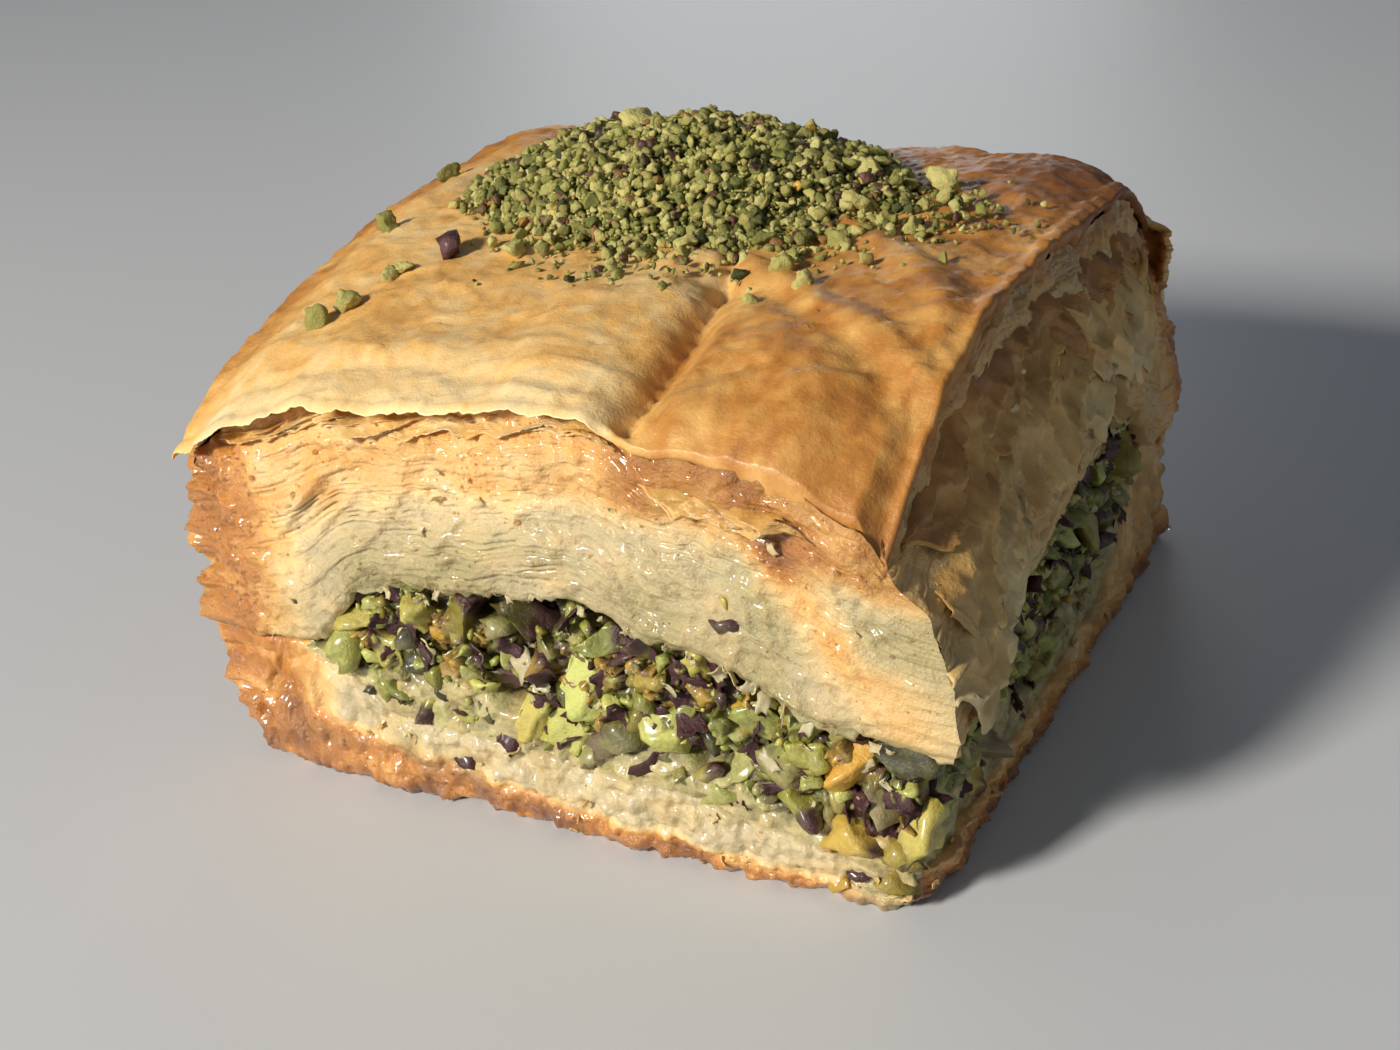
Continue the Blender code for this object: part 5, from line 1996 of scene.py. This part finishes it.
@dataclass(frozen=True)
class NutFinish:
    """Pistachio flesh or skin."""

    name: str
    dark: Colour
    middle: Colour
    pale: Colour
    roughness: float
    gloss: float
    glow: float
    depth: float = 0.3
    skin: Colour = (0.05, 0.012, 0.015)
    gold: Colour = (0.62, 0.34, 0.04)
    mush: Colour = (0.52, 0.44, 0.21)

    def make(self, effects: SharedEffects) -> Material:
        """Builds the material from the shared effects."""
        nodes, shader = new_finish(self.name)
        marks = nodes.marks(NUT_MARKS)
        flesh = nodes.effect(effects.nut, Tone=marks["tone"], Dark=(*self.dark, 1.0),
                             Middle=(*self.middle, 1.0), Pale=(*self.pale, 1.0))
        grain = flesh.outputs["Grain"]
        bumps = nodes.add("ShaderNodeBump", Strength=1.0, Distance=self.depth * MM, Height=grain)
        golden = nodes.mix(nodes.held(marks["tone"]), self.dark, self.gold)
        colour = nodes.mix(marks["gold"], flesh.outputs["Color"], golden)
        for mark, own in (("skin", self.skin), ("mush", self.mush)):
            uneven = nodes.swing(grain, nodes.math("MULTIPLY", marks[mark], 1.2))
            share = nodes.held(nodes.math("ADD", marks[mark], uneven))
            colour = nodes.mix(share, colour, own)
        nodes.fill(shader, Base_Color=colour, Roughness=self.roughness, Normal=bumps.outputs[0],
                   Coat_Weight=self.gloss, Coat_Roughness=0.2, Subsurface_Weight=self.glow,
                   Subsurface_Radius=(0.6, 0.9, 0.2), Subsurface_Scale=1.0 * MM)
        return nodes_material(nodes)


@dataclass(frozen=True)
class SyrupFinish:
    """Clear syrup, faintly amber."""

    name: str = "syrup"
    pale: Colour = (0.97, 0.86, 0.60)
    amber: Colour = (0.92, 0.66, 0.30)

    def make(self) -> Material:
        """Builds the material."""
        nodes, shader = new_finish(self.name)
        place = nodes.here()
        drift = nodes.grain(place, 200.0, 2.0)
        nodes.fill(shader, Base_Color=nodes.mix(drift, self.pale, self.amber), Roughness=0.07,
                   Transmission_Weight=0.9, IOR=1.47)
        return nodes_material(nodes)


def nodes_material(nodes: Nodes) -> Material:
    """The material that a node tree belongs to."""
    return next(m for m in bpy.data.materials if m.node_tree == nodes.tree)


SHEET_FINISH = FiloFinish("top_sheet_browned", 0.5, 520.0, 0.48, 0.5, 0.17, 1000.0, 0.1, 0.0, 0.1)
LAYER_FINISH = FiloFinish("filo_layers", 0.4, 420.0, 0.44, 0.6, 0.1, 1000.0, 0.3, 0.05, 0.4)
LOOSE_FINISH = FiloFinish("loose_sheets", 0.4, 420.0, 0.5, 0.3, 0.16, 1000.0, 0.14, 0.0, 0.3)
BASE_FINISH = FiloFinish("soaked_base", 0.42, 500.0, 0.42, 0.7, 0.1, 900.0, 0.2, 0.02, 0.25)
FILLING_FINISH = NutFinish(
    "chopped_pistachio", (0.035, 0.034, 0.008), (0.22, 0.235, 0.033), (0.54, 0.57, 0.15), 0.36, 0.5, 0.3
)
# The core has no marks, so it shows the dark end: painted shade for the depth between the nuts.
CORE_SHADE_FINISH = NutFinish(
    "nut_paste", (0.022, 0.016, 0.008), (0.13, 0.11, 0.035), (0.47, 0.39, 0.17), 0.4, 0.5, 0.15
)
GROUND_FINISH = NutFinish(
    "ground_pistachio", (0.04, 0.05, 0.008), (0.25, 0.255, 0.05), (0.56, 0.53, 0.2), 0.75, 0.0, 0.2, 0.5,
    gold=(0.58, 0.47, 0.14)
)
SKIN_FINISH = NutFinish(
    "pistachio_skin", (0.010, 0.004, 0.007), (0.040, 0.012, 0.018), (0.14, 0.045, 0.035), 0.5, 0.12, 0.05
)


@dataclass
class Studio:
    """Floor, lights and camera."""

    form: LoafForm
    camera_place: tuple[float, float, float] = (69.243, -134.763, 85.741)
    right: tuple[float, float, float] = (0.90250614, 0.42154651, -0.08821118)
    up: tuple[float, float, float] = (-0.10540364, 0.41478713, 0.90379296)
    back: tuple[float, float, float] = (0.41757963, -0.80638091, 0.41878047)
    photo_width: int = 1400
    focal_pixels: float = 2000.0
    centre_pixels: tuple[float, float] = (0.36, -48.46)
    lights: tuple = field(default_factory=lambda: (
        ("key", (-0.34, -0.72, 0.44), 0.14, 11.6, (1.0, 0.94, 0.86)),
        ("fill", (0.60, -0.20, 0.50), 0.60, 0.3, (0.92, 0.96, 1.0)),
        ("back", (-0.30, 0.75, 0.17), 0.30, 0.7, (0.95, 0.98, 1.0)),
    ))

    def floor(self) -> None:
        """A plain pale floor."""
        bm = bmesh.new()
        bmesh.ops.create_grid(bm, x_segments=1, y_segments=1, size=3.0)
        mesh = bpy.data.meshes.new("floor")
        bm.to_mesh(mesh)
        bm.free()
        floor = bpy.data.objects.new("floor", mesh)
        bpy.context.scene.collection.objects.link(floor)
        nodes, shader = new_finish("floor_pale")
        nodes.fill(shader, Base_Color=(0.56, 0.58, 0.60, 1.0), Roughness=0.5)
        mesh.materials.append(nodes_material(nodes))

    def lamps(self) -> None:
        """Soft lamps that face the piece, and an even sky."""
        for name, place, size, power, colour in self.lights:
            light = bpy.data.lights.new(name, "AREA")
            light.size = size
            light.energy = power
            light.color = colour
            lamp = bpy.data.objects.new(name, light)
            lamp.location = place
            lamp.rotation_euler = (Vector((0, 0, 0.02)) - Vector(place)).to_track_quat("-Z", "Y").to_euler()
            bpy.context.scene.collection.objects.link(lamp)
        world = bpy.data.worlds.new("studio")
        world.use_nodes = True
        sky = world.node_tree.nodes["Background"]
        sky.inputs["Color"].default_value = (0.80, 0.87, 1.0, 1.0)
        sky.inputs["Strength"].default_value = 0.12
        bpy.context.scene.world = world
        bpy.context.scene.view_settings.view_transform = "Standard"

    def camera(self) -> None:
        """The camera at the photograph's viewing angle."""
        data = bpy.data.cameras.new("camera")
        camera = bpy.data.objects.new("camera", data)
        data.sensor_width = 36.0
        data.lens = self.focal_pixels / self.photo_width * data.sensor_width
        data.shift_x = self.centre_pixels[0] / self.photo_width
        data.shift_y = self.centre_pixels[1] / self.photo_width
        data.clip_start = 0.005
        axes = Matrix((self.right, self.up, self.back)).transposed().to_4x4()
        place = Vector(self.camera_place) + Vector((*self.form.centring, 0.0))
        axes.translation = place * MM
        camera.matrix_world = axes
        bpy.context.scene.collection.objects.link(camera)
        bpy.context.scene.camera = camera

    def build(self) -> None:
        """Sets up all three."""
        self.floor()
        self.lamps()
        self.camera()


def main() -> None:
    """Loads the frame, dresses it and sets the stage."""
    logging.basicConfig(level=logging.INFO, format="%(message)s")
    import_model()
    form = LoafForm()
    effects = SharedEffects(Shades())
    sheet = SHEET_FINISH.make(effects)
    layers = LAYER_FINISH.make(effects)
    base = BASE_FINISH.make(effects)
    chopped = FILLING_FINISH.make(effects)
    ground = GROUND_FINISH.make(effects)
    skin = SKIN_FINISH.make(effects)
    core_shade = CORE_SHADE_FINISH.make(effects)
    loose = LOOSE_FINISH.make(effects)
    TopSheet(form).build(sheet)
    walls = UpperStack(form).build(layers) + BaseStack(form).build(base)
    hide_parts("filo_base")
    HangingSheets(form).build(loose)
    BackCornerCrust(form).build(base)
    TornFlakes(form).build(loose)
    SyrupBeads().build(walls, SyrupFinish().make())
    NutFilling(form).build(chopped, skin, core_shade)
    GroundNutHeap(form).build(ground, skin)
    Studio(form).build()


if __name__ == "__main__":
    main()
